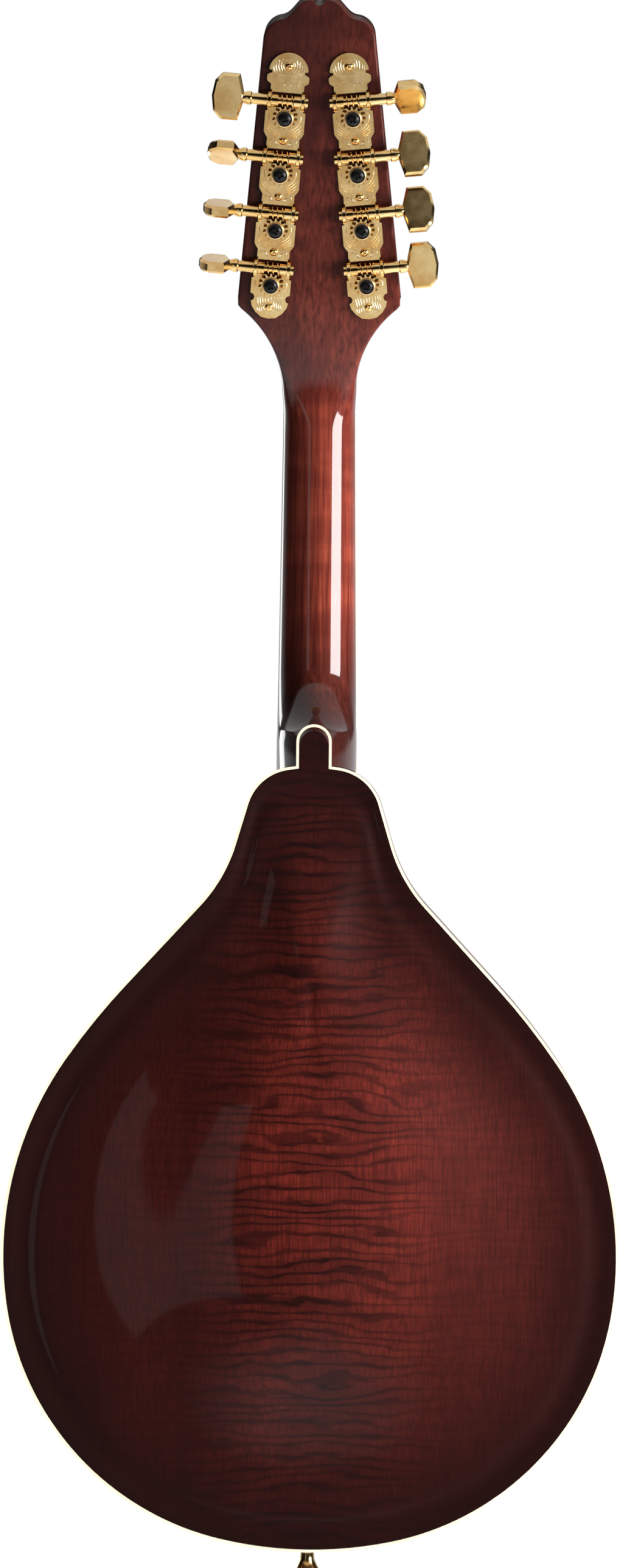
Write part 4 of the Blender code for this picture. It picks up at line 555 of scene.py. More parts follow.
@material("polished_gold")
def gold_metal(s):
    haze = s.noise(85.0, 4.0, 0.6)
    wear = s.noise(190.0, 3.0, 0.6)
    scratch = s.noise((150.0, 150.0, 2600.0), 2.0)
    tone = s.between(haze, 0.36, 0.62, (0.78, 0.47, 0.165), (1.0, 0.73, 0.34))
    tone = s.mix(s.ramp(wear, (0.56, 0.0), (0.78, 0.35)), tone, (0.62, 0.36, 0.12))
    s.set(Base_Color=tone, Metallic=1.0, Roughness=s.ramp(haze, (0.25, 0.10), (0.75, 0.20)))
    s.bump(s.mix(0.4, wear, scratch), 0.035, 0.00012)


def hazy_metal(name, scale, dark, bright, roughness, bump, metallic=1.0):
    """The maker of a metal with one haze in its colour, its polish and its surface."""
    @material(name)
    def fill(s):
        haze = s.noise(scale)
        s.set(Base_Color=s.mix(haze, dark, bright), Metallic=metallic,
              Roughness=s.ramp(haze, (0.3, roughness[0]), (0.7, roughness[1])))
        s.bump(haze, bump, 0.0001)
    return fill


engraved_gold = hazy_metal("engraved_gold", 260.0, (0.96, 0.76, 0.44), (1.0, 0.86, 0.58), (0.22, 0.34), 0.1)
hub_gold = hazy_metal("pale_gold", 210.0, (0.62, 0.42, 0.20), (0.86, 0.66, 0.38), (0.24, 0.38), 0.06)
black_steel = hazy_metal("black_steel", 300.0, (0.010, 0.010, 0.011), (0.030, 0.028, 0.028),
                         (0.24, 0.36), 0.08, metallic=0.85)
nickel_steel = hazy_metal("drawn_steel", 120.0, (0.52, 0.50, 0.47), (0.70, 0.68, 0.64), (0.20, 0.32), 0.05)


@material("wound_bronze")
def wound_string(s):
    haze = s.noise(140.0)
    turn = s.bands(s.place, Scale=620.0, Distortion=0.0)
    tone = s.mix(haze, (0.62, 0.40, 0.22), (0.78, 0.56, 0.34))
    s.set(Base_Color=s.mix(s.times(turn, 0.5), tone, (0.30, 0.17, 0.08)), Metallic=1.0,
          Roughness=s.ramp(haze, (0.3, 0.26), (0.7, 0.38)))
    s.bump(turn, 0.6, 0.00008)


@material("polished_bone")
def bone(s):
    cloud = s.noise((90.0, 90.0, 36.0), 4.0)
    pore = s.noise((500.0, 2200.0, 2200.0), 2.0)
    s.set(Base_Color=s.between(cloud, 0.3, 0.7, (0.74, 0.66, 0.48), (0.88, 0.83, 0.69)),
          Roughness=s.ramp(pore, (0.3, 0.28), (0.7, 0.42)), Subsurface_Weight=0.08, Subsurface_Scale=0.002)
    s.bump(pore, 0.06, 0.0001)


@material("pearl")
def pearl(s):
    swirl = s.noise(420.0, 3.0, 0.5, 1.6)
    s.set(Base_Color=s.ramp(swirl, (0.30, (0.62, 0.70, 0.68)), (0.48, (0.86, 0.84, 0.80)),
                            (0.60, (0.70, 0.62, 0.70)), (0.75, (0.84, 0.88, 0.84))),
          Roughness=0.16, Coat_Weight=1.0, Coat_Roughness=0.03)
    s.bump(swirl, 0.02, 0.0001)


@material("pale_floor")
def pale_floor(s):
    s.set(Base_Color=(0.80, 0.80, 0.80), Roughness=0.8)


# Building
SHOWN = {}
BODY_OF = {node: body for body, nodes in frame["record"]["behaviour"]["bodies"].items() for node in nodes}
SIDES = (("treble", 1.0), ("bass", -1.0))
SMOOTH_ANGLE = math.radians(35.0)
FINE_SMOOTH_ANGLE = math.radians(60.0)
MERGE_DISTANCE = 0.000001
FLAT_ANGLE = math.radians(0.05)


def link_mesh(name, bm, look, frame_matrix=None, smooth_angle=SMOOTH_ANGLE):
    bmesh.ops.recalc_face_normals(bm, faces=bm.faces[:])
    mesh = bpy.data.meshes.new(name)
    bm.to_mesh(mesh)
    bm.free()
    mesh.shade_smooth()
    mesh.set_sharp_from_angle(angle=smooth_angle)
    obj = bpy.data.objects.new(name, mesh)
    bpy.context.scene.collection.objects.link(obj)
    if look:
        mesh.materials.append(look)
    obj.matrix_world = frame_matrix or Matrix.Identity(4)
    return obj


def finish(name, bm, look, frame_matrix=None):
    """The piece that stands for a node of the frame."""
    SHOWN[name] = link_mesh(name + "_look", bm, look, frame_matrix)
    return SHOWN[name]


def carried(name, look, frame_matrix=None):
    """A node whose solid is fine enough as it is: its own mesh, in the frame that its material follows."""
    bm = bmesh.new()
    bm.from_mesh(frame["nodes"][name].data)
    bmesh.ops.remove_doubles(bm, verts=bm.verts[:], dist=MERGE_DISTANCE)
    bmesh.ops.dissolve_limit(bm, angle_limit=FLAT_ANGLE, verts=bm.verts[:], edges=bm.edges[:])
    if frame_matrix:
        bm.transform(frame_matrix.inverted())
    finish(name, bm, look, frame_matrix)


def extra(name, bm, look, frame_matrix, body, smooth_angle=SMOOTH_ANGLE):
    """A piece that only the looks have."""
    obj = link_mesh(name, bm, look, frame_matrix, smooth_angle)
    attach(obj, body)
    return obj


def carve(obj, bm, frame_matrix=None, operation="DIFFERENCE"):
    """Cut a tool out of a piece, join it on or keep what both share, and drop the tool."""
    tool = link_mesh("tool", bm, None, frame_matrix)
    change = obj.modifiers.new("cut", "BOOLEAN")
    change.operation = operation
    change.solver = "EXACT"
    change.object = tool
    bpy.context.view_layer.update()
    graph = bpy.context.evaluated_depsgraph_get()
    fresh = bpy.data.meshes.new_from_object(obj.evaluated_get(graph))
    obj.modifiers.clear()
    old, obj.data = obj.data, fresh
    tool_mesh = tool.data
    bpy.data.objects.remove(tool)
    for mesh in (old, tool_mesh):
        bpy.data.meshes.remove(mesh)
    fresh.shade_smooth()
    fresh.set_sharp_from_angle(angle=SMOOTH_ANGLE)


def skin(bm, loops, closed=True, caps=True):
    """Join loops of equal length with quads, closing each loop and both ends when asked."""
    rows = [[bm.verts.new(point) for point in loop] for loop in loops]
    count = len(rows[0])
    steps = count if closed else count - 1
    for low, high in zip(rows, rows[1:]):
        for i in range(steps):
            j = (i + 1) % count
            bm.faces.new((low[i], low[j], high[j], high[i]))
    if caps:
        bm.faces.new(list(reversed(rows[0])))
        bm.faces.new(rows[-1])
    return rows


def closed_skin(bm, loops):
    """Loops joined in a circle: the last one lies where the first one does."""
    rows = skin(bm, loops, caps=False)
    bmesh.ops.remove_doubles(bm, verts=rows[0] + rows[-1], dist=MERGE_DISTANCE)


def along_axis(axis, a, b, height):
    """A point at a height along an axis and at a, b across it."""
    return Vector({"X": (height, a, b), "Y": (a, height, b), "Z": (a, b, height)}[axis])


def ring(radius, height, sides, axis="Z", centre=(0.0, 0.0)):
    """A round loop about an axis, at a height along it."""
    turns = (2.0 * math.pi * i / sides for i in range(sides))
    return [along_axis(axis, centre[0] + radius * math.cos(a), centre[1] + radius * math.sin(a), height)
            for a in turns]


def turned(bm, profile, sides, axis="Z", centre=(0.0, 0.0)):
    """A turned solid from (radius, height) pairs."""
    skin(bm, [ring(radius, height, sides, axis, centre) for radius, height in profile])


def turned_ring(bm, profile, sides=ROUND_SIDES):
    """A ring about the Y axis from (radius, height) pairs that come back to the first one."""
    closed_skin(bm, [ring(radius, height, sides, "Y") for radius, height in profile])


def bore(bm, radius, low, high, axis="Y", centre=(0.0, 0.0)):
    """A round hole's tool from one height to another."""
    turned(bm, [(radius, low), (radius, high)], HOLE_SIDES, axis, centre)


def prism(bm, outline, low, high, axis="Y"):
    """An outline pushed along an axis: its pairs are X and Z for axis Y."""
    skin(bm, [[along_axis(axis, a, b, level) for a, b in outline] for level in (low, high)])


def box(bm, low, high):
    corners = [(low[0], low[1]), (high[0], low[1]), (high[0], high[1]), (low[0], high[1])]
    prism(bm, corners, low[2], high[2], "Z")


def mirrored(half, middle=()):
    """A right half from the bottom up, what lies on the middle line, and the left half down again."""
    return half + list(middle) + [(-a, b) for a, b in reversed(half)]


def arc_points(centre, radius, start, end, steps):
    """Points on an arc of the plane, both ends included."""
    turns = (start + (end - start) * i / steps for i in range(steps + 1))
    return [(centre[0] + radius * math.cos(a), centre[1] + radius * math.sin(a)) for a in turns]


def offset_loop(points, distance):
    """A closed outline moved inwards by a distance, with mitred corners."""
    moved = []
    for i, point in enumerate(points):
        here = Vector(point)
        first = (here - Vector(points[i - 1])).normalized()
        second = (Vector(points[(i + 1) % len(points)]) - here).normalized()
        normal_a = Vector((-first.y, first.x))
        normal_b = Vector((-second.y, second.x))
        mitre = (normal_a + normal_b).normalized()
        moved.append(tuple(here + mitre * distance / max(mitre.dot(normal_a), SHARPEST_MITRE)))
    return moved


def smooth(share):
    """0 to 1 with a soft start and end."""
    share = min(max(share, 0.0), 1.0)
    return share * share * (3.0 - 2.0 * share)


def fret_height(number):
    """Distance of a fret from the nut."""
    return SCALE_LENGTH * (1.0 - 2.0 ** (-number / 12.0))


# The neck leans back so that the strings pass the bridge at their height over the top's edge
BOARD_END_FROM_NUT = fret_height(FRET_COUNT) + BOARD_PAST_LAST_FRET
SOUNDHOLE_FROM_NUT = BOARD_END_FROM_NUT + SOUNDHOLE_PAST_BOARD + SOUNDHOLE_LENGTH / 2.0
ROD_LENGTH = NECK_FREE_LENGTH - ROD_SHORT_OF_BODY
STRINGS_OVER_BOARD_SEAT = BOARD_RISE + BOARD_THICKNESS + STRINGS_OVER_BOARD_AT_BRIDGE
NECK_PITCH = math.asin((STRINGS_OVER_EDGE_AT_BRIDGE - STRINGS_OVER_BOARD_SEAT)
                       / (SCALE_LENGTH - NECK_FREE_LENGTH))

# The neck's frame follows the fingerboard and the head's frame follows the head
NECK_FRAME = Matrix.Rotation(-NECK_PITCH, 4, "X")
HEAD_FRAME = Matrix.Rotation(-NECK_PITCH - HEAD_PITCH, 4, "X")
BOARD_UNDER = -NECK_DEPTH_AT_NUT
BOARD_TOP = BOARD_UNDER - BOARD_THICKNESS
NUT_SEAT_LENGTH = NUT_LENGTH + 2.0 * SEAT_GAP
HEAD_FACE = -(NECK_DEPTH_AT_NUT * math.cos(HEAD_PITCH) + NUT_SEAT_LENGTH * math.sin(HEAD_PITCH))
VENEER_FACE = HEAD_FACE - SEAT_GAP - VENEER_THICKNESS
HEAD_FACE_START = (NUT_SEAT_LENGTH + HEAD_FACE * math.sin(HEAD_PITCH)) / math.cos(HEAD_PITCH)


def from_neck(x, depth, height):
    """World point of a place on the neck: depth grows towards the back, height towards the head."""
    return NECK_FRAME @ Vector((x, depth, height))


# The truss rod runs under the board and ends in its pocket in the head
ROD_DEPTH = BOARD_UNDER + ROD_RADIUS + ROD_UNDER_BOARD
ROD_END = NUT_SEAT_LENGTH + ROD_PAST_NUT

# Where the body lies: its shoulder ends the free length of the neck
SHOULDER_POINT = from_neck(0.0, BOARD_UNDER, -NECK_FREE_LENGTH)
SHOULDER_Z = SHOULDER_POINT.z
FRONT_EDGE_Y = SHOULDER_POINT.y + BOARD_RISE
RIM_FRONT_Y = FRONT_EDGE_Y + PLATE_EDGE
RIM_BACK_Y = RIM_FRONT_Y + RIM_DEPTH
BACK_EDGE_Y = RIM_BACK_Y + PLATE_EDGE
RIM_MID_Y = (RIM_FRONT_Y + RIM_BACK_Y) / 2.0


def half_outline():
    """One side of the body from the tail to the heel button, x outwards and z up from the tail."""
    x = 0.0
    z = 0.0
    heading = 0.0
    points = [(x, z)]
    pieces = [TAIL_ARC, LOWER_BOUT_ARC, WAIST_ARC, UPPER_BOUT_ARC, SLOPE_LENGTH,
              NECK_SIDE_ARC, NECK_SIDE_LENGTH, SHOULDER_ARC]
    for piece in pieces:
        if isinstance(piece, float):
            x += piece * math.cos(heading)
            z += piece * math.sin(heading)
            points.append((x, z))
            continue
        radius, sweep = piece
        steps = max(2, round(sweep / ARC_STEP))
        turn = math.copysign(sweep / steps, radius)
        chord = 2.0 * abs(radius) * math.sin(sweep / steps / 2.0)
        for _ in range(steps):
            x += chord * math.cos(heading + turn / 2.0)
            z += chord * math.sin(heading + turn / 2.0)
            heading += turn
            points.append((x, z))
    reach = (BUTTON_WIDTH / 2.0 - x) / math.cos(heading)
    points.append((BUTTON_WIDTH / 2.0, z + reach * math.sin(heading)))
    return points


HALF_OUTLINE = half_outline()
BODY_LENGTH = HALF_OUTLINE[-1][1]
BODY_HALF_WIDTH = max(point[0] for point in HALF_OUTLINE)
TAIL_Z = SHOULDER_Z - BODY_LENGTH


def body_outline():
    """The closed outline in world X and Z, without the heel button, run anticlockwise."""
    right = [(x, z + TAIL_Z) for x, z in HALF_OUTLINE]
    return mirrored(right)[:-1]


def button_outline(half_width, overlap=0.0):
    """The tongue of the back over the heel, with a round end."""
    centre = (0.0, SHOULDER_Z + BUTTON_LENGTH - BUTTON_WIDTH / 2.0)
    return [(half_width, SHOULDER_Z - overlap)] + arc_points(centre, half_width, 0.0, math.pi, 40) + \
        [(-half_width, SHOULDER_Z - overlap)]


def back_outline():
    """The closed outline of the back with its heel button."""
    right = [(x, z + TAIL_Z) for x, z in HALF_OUTLINE]
    return mirrored(right, button_outline(BUTTON_WIDTH / 2.0)[1:-1])[:-1]


def spine_point(z):
    """The crest of the carving that an edge point at this height rises to."""
    share = (z - TAIL_Z) / BODY_LENGTH
    return (0.0, TAIL_Z + SPINE_TAIL_END + share * (SPINE_NECK_END - SPINE_TAIL_END))


def arch_height(distance, reach, along, arch):
    """Height of the carved arch over the plate's edge, at a distance in from that edge."""
    if distance <= RECURVE_WIDTH:
        return -RECURVE_DIP * (0.5 - 0.5 * math.cos(2.0 * math.pi * distance / RECURVE_WIDTH))
    share = (distance - RECURVE_WIDTH) / max(reach - RECURVE_WIDTH, 0.001)
    middle = TAIL_Z + (SPINE_TAIL_END + SPINE_NECK_END) / 2.0
    half = (SPINE_NECK_END - SPINE_TAIL_END) / 2.0
    fall = 1.0 - ARCH_FALL_TO_NECK * smooth((along - middle) / half)
    return arch * fall * (0.5 - 0.5 * math.cos(math.pi * min(share, 1.0)))


def arched_plate(bm, edge_y, outward, arch):
    """A carved plate: outer arch, inner arch and a flat glued edge. outward is +1 for the back."""
    edges = [(Vector(point), Vector(spine_point(point[1]))) for point in plate_outline()]
    glue = LINING_WIDTH + RIM_THICKNESS

    def carved_loop(start, share, wood):
        """The ring a share of the way from a start to the spine, a wood's thickness under the outer arch."""
        loop = []
        for edge, spine in edges:
            reach = (spine - edge).length
            distance = start + share * (reach - start)
            spot = edge + (spine - edge) * min(distance / reach, 1.0)
            height = arch_height(distance, reach, spine.y, arch) - wood
            loop.append(Vector((spot.x, edge_y + outward * height, spot.y)))
        return loop

    def flat_loop(distance, height):
        """The ring at a distance in from the edge, at one height or on the dip of the edge."""
        loop = []
        for edge, spine in edges:
            spot = edge + (spine - edge).normalized() * distance
            loop.append(Vector((spot.x, edge_y + outward * height, spot.y)))
        return loop

    edge_loops = []
    for distance in (RECURVE_WIDTH * i / RECURVE_STEPS for i in range(RECURVE_STEPS + 1)):
        edge_loops.append(flat_loop(distance, arch_height(distance, 1.0, 0.0, arch)))
    outer = edge_loops + [carved_loop(RECURVE_WIDTH, i / ARCH_STEPS, 0.0) for i in range(1, ARCH_STEPS + 1)]
    inner = [flat_loop(distance, SEAT_GAP - PLATE_EDGE) for distance in (0.0, glue)]
    for share in INNER_ARCH_SHARES:
        wood = PLATE_RECURVE_THICKNESS + share * (PLATE_CENTRE_THICKNESS - PLATE_RECURVE_THICKNESS)
        inner.append(carved_loop(glue, share, wood))
    skin(bm, list(reversed(outer)) + inner, caps=False)
    bmesh.ops.remove_doubles(bm, verts=bm.verts[:], dist=SPINE_MERGE_DISTANCE)


def outline_band(bm, outer, inner, low, high):
    """A closed band between two outlines of as many points."""
    loops = [[Vector((x, y, z)) for x, z in line]
             for line, y in ((outer, low), (outer, high), (inner, high), (inner, low), (outer, low))]
    closed_skin(bm, loops)


def clip_outline(points, side, limit, keep_below):
    """The part of a closed outline on one side of a line: side 0 cuts on X, 1 on Z."""
    def kept(p):
        return p[side] <= limit if keep_below else p[side] >= limit
    result = []
    for i, here in enumerate(points):
        before = points[i - 1]
        if kept(here) != kept(before):
            share = (limit - before[side]) / (here[side] - before[side])
            result.append(tuple(before[k] + share * (here[k] - before[k]) for k in (0, 1)))
        if kept(here):
            result.append(here)
    return result


def body_prism(growth):
    """A straight-sided body outline for cutting what meets the body."""
    bm = bmesh.new()
    prism(bm, offset_loop(body_outline(), -growth), FRONT_EDGE_Y - BODY_TOOL_REACH,
          BACK_EDGE_Y + BODY_TOOL_REACH)
    return bm


def plate_outline():
    return offset_loop(body_outline(), BINDING_THICKNESS + SEAT_GAP)


def make_back_plate():
    bm = bmesh.new()
    arched_plate(bm, BACK_EDGE_Y, 1.0, BACK_ARCH)
    plate = finish("back_plate", bm, back_maple())
    bm = bmesh.new()
    inset = BINDING_THICKNESS + SEAT_GAP
    tongue = button_outline(BUTTON_WIDTH / 2.0 - inset, BINDING_THICKNESS + BUTTON_OVERLAP)
    tongue = [(x, z - (inset if z > SHOULDER_Z else 0.0)) for x, z in tongue]
    prism(bm, tongue, RIM_BACK_Y + SEAT_GAP, BACK_EDGE_Y)
    carve(plate, bm, operation="UNION")


def soundhole_centre_z():
    return from_neck(0.0, BOARD_TOP, -SOUNDHOLE_FROM_NUT).z


def soundhole_point(angle, grow=0.0):
    """X and Z of a point on the soundhole's edge, or on a larger ring round it."""
    x = (SOUNDHOLE_WIDTH / 2.0 + grow) * math.cos(angle)
    return x, soundhole_centre_z() + (SOUNDHOLE_LENGTH / 2.0 + grow) * math.sin(angle)


def make_top_plate():
    """The top plate; returns a ray tree of its arches for what rests on it."""
    bm = bmesh.new()
    arched_plate(bm, FRONT_EDGE_Y, -1.0, TOP_ARCH)
    tree = BVHTree.FromBMesh(bm)
    plate = finish("top_plate", bm, burst_spruce())
    bm = bmesh.new()
    oval = [soundhole_point(2.0 * math.pi * i / SOUNDHOLE_SIDES) for i in range(SOUNDHOLE_SIDES)]
    prism(bm, oval, FRONT_EDGE_Y - BODY_TOOL_REACH, FRONT_EDGE_Y + BODY_TOOL_REACH)
    carve(plate, bm)
    return tree


def top_seat(shift=-SEAT_GAP):
    """The top's arches moved by the seat gap, for fitting what stands on them or under them."""
    bm = bmesh.new()
    arched_plate(bm, FRONT_EDGE_Y + shift, -1.0, TOP_ARCH)
    return bm


def outer_top_y(tree, x, z):
    """Where the front of the top lies at a place; the binding's level past its edge."""
    hit = tree.ray_cast(Vector((x, FRONT_EDGE_Y - 0.1, z)), Vector((0.0, 1.0, 0.0)))[0]
    return hit.y if hit else FRONT_EDGE_Y


def inner_top_y(tree, x, z):
    hit = tree.ray_cast(Vector((x, RIM_MID_Y, z)), Vector((0.0, -1.0, 0.0)))[0]
    return hit.y if hit else RIM_FRONT_Y


def make_bindings():
    for name, outer, low, high in (("back_binding", back_outline(), RIM_BACK_Y + SEAT_GAP, BACK_EDGE_Y),
                                   ("top_binding", body_outline(), FRONT_EDGE_Y, RIM_FRONT_Y - SEAT_GAP)):
        bm = bmesh.new()
        outline_band(bm, outer, offset_loop(outer, BINDING_THICKNESS), low, high)
        finish(name, bm, cream_binding())


def pin_bore():
    """The tool for the end pin's hole along Z, through the tail."""
    bm = bmesh.new()
    inside = TAIL_Z + RIM_THICKNESS + TAIL_BLOCK_LENGTH
    bore(bm, PIN_NECK_RADIUS + SEAT_GAP, TAIL_Z - BODY_TOOL_REACH, inside + BODY_TOOL_REACH,
         "Z", (0.0, RIM_MID_Y))
    return bm


def make_rim():
    bm = bmesh.new()
    outer = body_outline()
    outline_band(bm, outer, offset_loop(outer, RIM_THICKNESS), RIM_FRONT_Y, RIM_BACK_Y)
    rim = finish("rim", bm, side_maple())
    carve(rim, pin_bore())


def make_blocks():
    """Both end blocks: the outline inside the rim, clipped to their length and width."""
    inner = offset_loop(body_outline(), RIM_THICKNESS + SEAT_GAP)
    tail_end = TAIL_Z + RIM_THICKNESS + TAIL_BLOCK_LENGTH
    head_end = SHOULDER_Z - RIM_THICKNESS - HEAD_BLOCK_LENGTH
    for name, end, at_tail, width in (("tail_block", tail_end, True, TAIL_BLOCK_WIDTH),
                                      ("head_block", head_end, False, HEAD_BLOCK_WIDTH)):
        outline = clip_outline(inner, 1, end, at_tail)
        outline = clip_outline(clip_outline(outline, 0, width / 2.0, True), 0, -width / 2.0, False)
        bm = bmesh.new()
        prism(bm, outline, RIM_FRONT_Y + SEAT_GAP, RIM_BACK_Y - SEAT_GAP)
        block = finish(name, bm, bare_spruce())
        if at_tail:
            carve(block, pin_bore())


def make_linings():
    """Four strips between rim and plates, from block to block on each side."""
    outer = offset_loop(body_outline(), RIM_THICKNESS + SEAT_GAP)
    inner = offset_loop(body_outline(), RIM_THICKNESS + LINING_WIDTH)
    block_end = SHOULDER_Z - RIM_THICKNESS - HEAD_BLOCK_LENGTH - LINING_FROM_HEAD_BLOCK
    block_side = TAIL_BLOCK_WIDTH / 2.0 + LINING_FROM_TAIL_BLOCK
    kept = [i for i, (x, z) in enumerate(outer) if x > block_side and z < block_end]
    levels = (("back", RIM_BACK_Y - LINING_HEIGHT, RIM_BACK_Y - SEAT_GAP),
              ("front", RIM_FRONT_Y + SEAT_GAP, RIM_FRONT_Y + LINING_HEIGHT))
    for level, low, high in levels:
        for side, sign in SIDES:
            bm = bmesh.new()
            loops = []
            for i in kept:
                corners = ((outer[i], low), (outer[i], high), (inner[i], high), (inner[i], low))
                loops.append([Vector((sign * p[0], y, p[1])) for p, y in corners])
            skin(bm, loops)
            finish(f"{level}_lining_{side}", bm, bare_spruce())


def make_brace(tree):
    """One bar across the inside of the top, below the soundhole."""
    z = soundhole_centre_z() - SOUNDHOLE_LENGTH / 2.0 - BRACE_BELOW_SOUNDHOLE
    half = interior_half_width(z) - BRACE_SHORT_OF_LINING
    bm = bmesh.new()
    loops = []
    for i in range(33):
        share = -1.0 + i / 16.0
        x = half * share
        height = BRACE_HEIGHT * (0.35 + 0.65 * math.sqrt(max(1.0 - share ** 4, 0.0)))
        loop = []
        for side in (-1.0, 1.0):
            place = z + side * BRACE_WIDTH / 2.0
            seat = max(inner_top_y(tree, x, z + k * BRACE_WIDTH / 2.0) for k in (-1.0, 0.0, 1.0))
            pair = [Vector((x, seat - BRACE_FITTING_BITE, place)), Vector((x, seat + height, place))]
            loop += pair if side < 0 else list(reversed(pair))
        loops.append(loop)
    skin(bm, loops)
    brace = finish("top_brace", bm, bare_spruce())
    carve(brace, top_seat(SEAT_GAP))


def interior_half_width(z):
    """Half the clear width inside the linings at a height."""
    inner = offset_loop(body_outline(), RIM_THICKNESS + LINING_WIDTH)
    cut = clip_outline(inner, 1, z, True)
    return max(p[0] for p in cut if abs(p[1] - z) < 1e-6)


def board_half_width(height):
    """The fingerboard's half width at a height under the nut, which is negative."""
    share = -height / NECK_FREE_LENGTH
    return (NUT_WIDTH + share * (NECK_WIDTH_AT_BODY - NUT_WIDTH)) / 2.0


def neck_section(half_width, depth, back_half_width, height, fullness):
    """A loop across the neck: flat under the board, round or heel-shaped behind."""
    loop = []
    for angle in (math.pi * j / NECK_SECTION_STEPS for j in range(NECK_SECTION_STEPS + 1)):
        sine = math.sin(angle)
        reach = back_half_width + (half_width - back_half_width) * (1.0 - sine ** HEEL_TAPER_POWER)
        round_x = half_width * math.cos(angle)
        heel_x = reach * math.copysign(abs(math.cos(angle)) ** HEEL_SIDE_POWER, math.cos(angle))
        power = NECK_BACK_POWER + (HEEL_BACK_POWER - NECK_BACK_POWER) * fullness
        x = round_x + fullness * (heel_x - round_x)
        loop.append(Vector((x, BOARD_UNDER + depth * sine ** power, height)))
    return loop


def neck_loops():
    """Sections of the neck from below the shoulder up to the nut."""
    foot = -NECK_FREE_LENGTH
    full = RIM_BACK_Y - SHOULDER_POINT.y + HEEL_SPARE_DEPTH
    top_of_button = foot + BUTTON_LENGTH
    top_of_heel = top_of_button + HEEL_SWEEP
    half_button = BUTTON_WIDTH / 2.0
    loops = [neck_section(board_half_width(foot), full, half_button * width, foot + rise, 1.0)
             for rise, width in ((-HEEL_INTO_BODY, 1.0), (0.0, 1.0), (0.35 * BUTTON_LENGTH, 1.0),
                                 (0.72 * BUTTON_LENGTH, 0.84))]
    for share in (0.5 + 0.5 * math.cos(math.pi * i / HEEL_STEPS) for i in range(HEEL_STEPS)):
        height = top_of_button + HEEL_SWEEP * (1.0 - share)
        bulge = 1.0 - math.sqrt(1.0 - (share * HEEL_CURVE_SHARE) ** 2)
        depth = NECK_DEPTH_AT_BODY + (full - NECK_DEPTH_AT_BODY) * bulge
        back = half_button * HEEL_BACK_WIDTH_SHARE * share
        loops.append(neck_section(board_half_width(height), depth, back, height, share * share))
    for share in (1.0 - i / SHAFT_STEPS for i in range(SHAFT_STEPS + 1)):
        depth = NECK_DEPTH_AT_NUT + (NECK_DEPTH_AT_BODY - NECK_DEPTH_AT_NUT) * share
        height = top_of_heel * share
        loops.append(neck_section(board_half_width(height), depth, 0.0, height, 0.0))
    return loops


def head_outline():
    """The head in its own frame: X across, Z up from the nut."""
    flare_x = NUT_WIDTH / 2.0 + HEAD_PAST_NUT
    turn = math.acos(1.0 - (HEAD_SIDE_LOW - flare_x) / HEAD_FLARE_RADIUS)
    flare_centre = (flare_x + HEAD_FLARE_RADIUS, HEAD_FLARE_START)
    flare = arc_points(flare_centre, HEAD_FLARE_RADIUS, math.pi, math.pi - turn, 24)
    flare[-1] = (flare[-1][0] - 0.0022, flare[-1][1] - 0.0016)
    shoulder = [(HEAD_SIDE_LOW - inwards, flare[-1][1] + rise)
                for inwards, rise in ((0.0001, 0.0022), (0.0004, 0.0052))]
    corner_x = HEAD_SIDE_LOW - (HEAD_CORNER_HEIGHT - HEAD_SHOULDER_HEIGHT) * math.tan(HEAD_SIDE_TAPER)
    round_centre = (corner_x - HEAD_CORNER_RADIUS, HEAD_CORNER_HEIGHT - HEAD_CORNER_RADIUS)
    corner = arc_points(round_centre, HEAD_CORNER_RADIUS, HEAD_SIDE_TAPER, HEAD_CORNER_END, 16)
    run = corner[-1][0] - HEAD_LOBE_X
    rise = HEAD_LOBE_HEIGHT - corner[-1][1]
    ogee = [(corner[-1][0] - run * s, corner[-1][1] + rise * (s - math.sin(2.0 * math.pi * s) / 8.0))
            for s in HEAD_OGEE_SHARES]
    right = flare + shoulder + corner + ogee + [(HEAD_LOBE_X, HEAD_LOBE_HEIGHT)] + notch_side()
    return mirrored(right, [(0.0, HEAD_NOTCH_HEIGHT)])


def notch_side():
    """The right side of the notch between the head's two lobes."""
    return [(HEAD_LOBE_X - 0.0014, HEAD_LOBE_HEIGHT - 0.0003), (0.0014, HEAD_NOTCH_HEIGHT + 0.0004)]


def tuner_places():
    """Side name, sign and index of every tuner, from the lowest post up."""
    for side, sign in SIDES:
        for index in range(TUNER_COUNT):
            yield side, sign, index


def strip_frame(sign):
    """The frame of one tuner strip: origin on the head's back at the lowest post."""
    place = Matrix.Translation((sign * TUNER_LOWEST_X, 0.0, TUNER_LOWEST_HEIGHT))
    return HEAD_FRAME @ place @ Matrix.Rotation(-sign * TUNER_TILT, 4, "Y")


def post_frame(sign, index):
    """The strip's frame moved up to one of its posts."""
    return strip_frame(sign) @ Matrix.Translation((0.0, 0.0, index * TUNER_PITCH))


def half_at(height):
    """Half the width of neck or head at a height in the head's frame."""
    if height <= HEAD_FLARE_START:
        growth = smooth(1.0 + (height - HEAD_FLARE_START) / HEAD_PAST_NUT_FADE)
        return board_half_width(min(height, 0.0)) + HEAD_PAST_NUT * growth
    side = [point for point in head_outline() if point[0] >= HEAD_LOBE_X]
    for low, high in zip(side, side[1:]):
        if low[1] <= height <= high[1]:
            return low[0] + (high[0] - low[0]) * (height - low[1]) / max(high[1] - low[1], 1e-9)
    return HEAD_LOBE_X


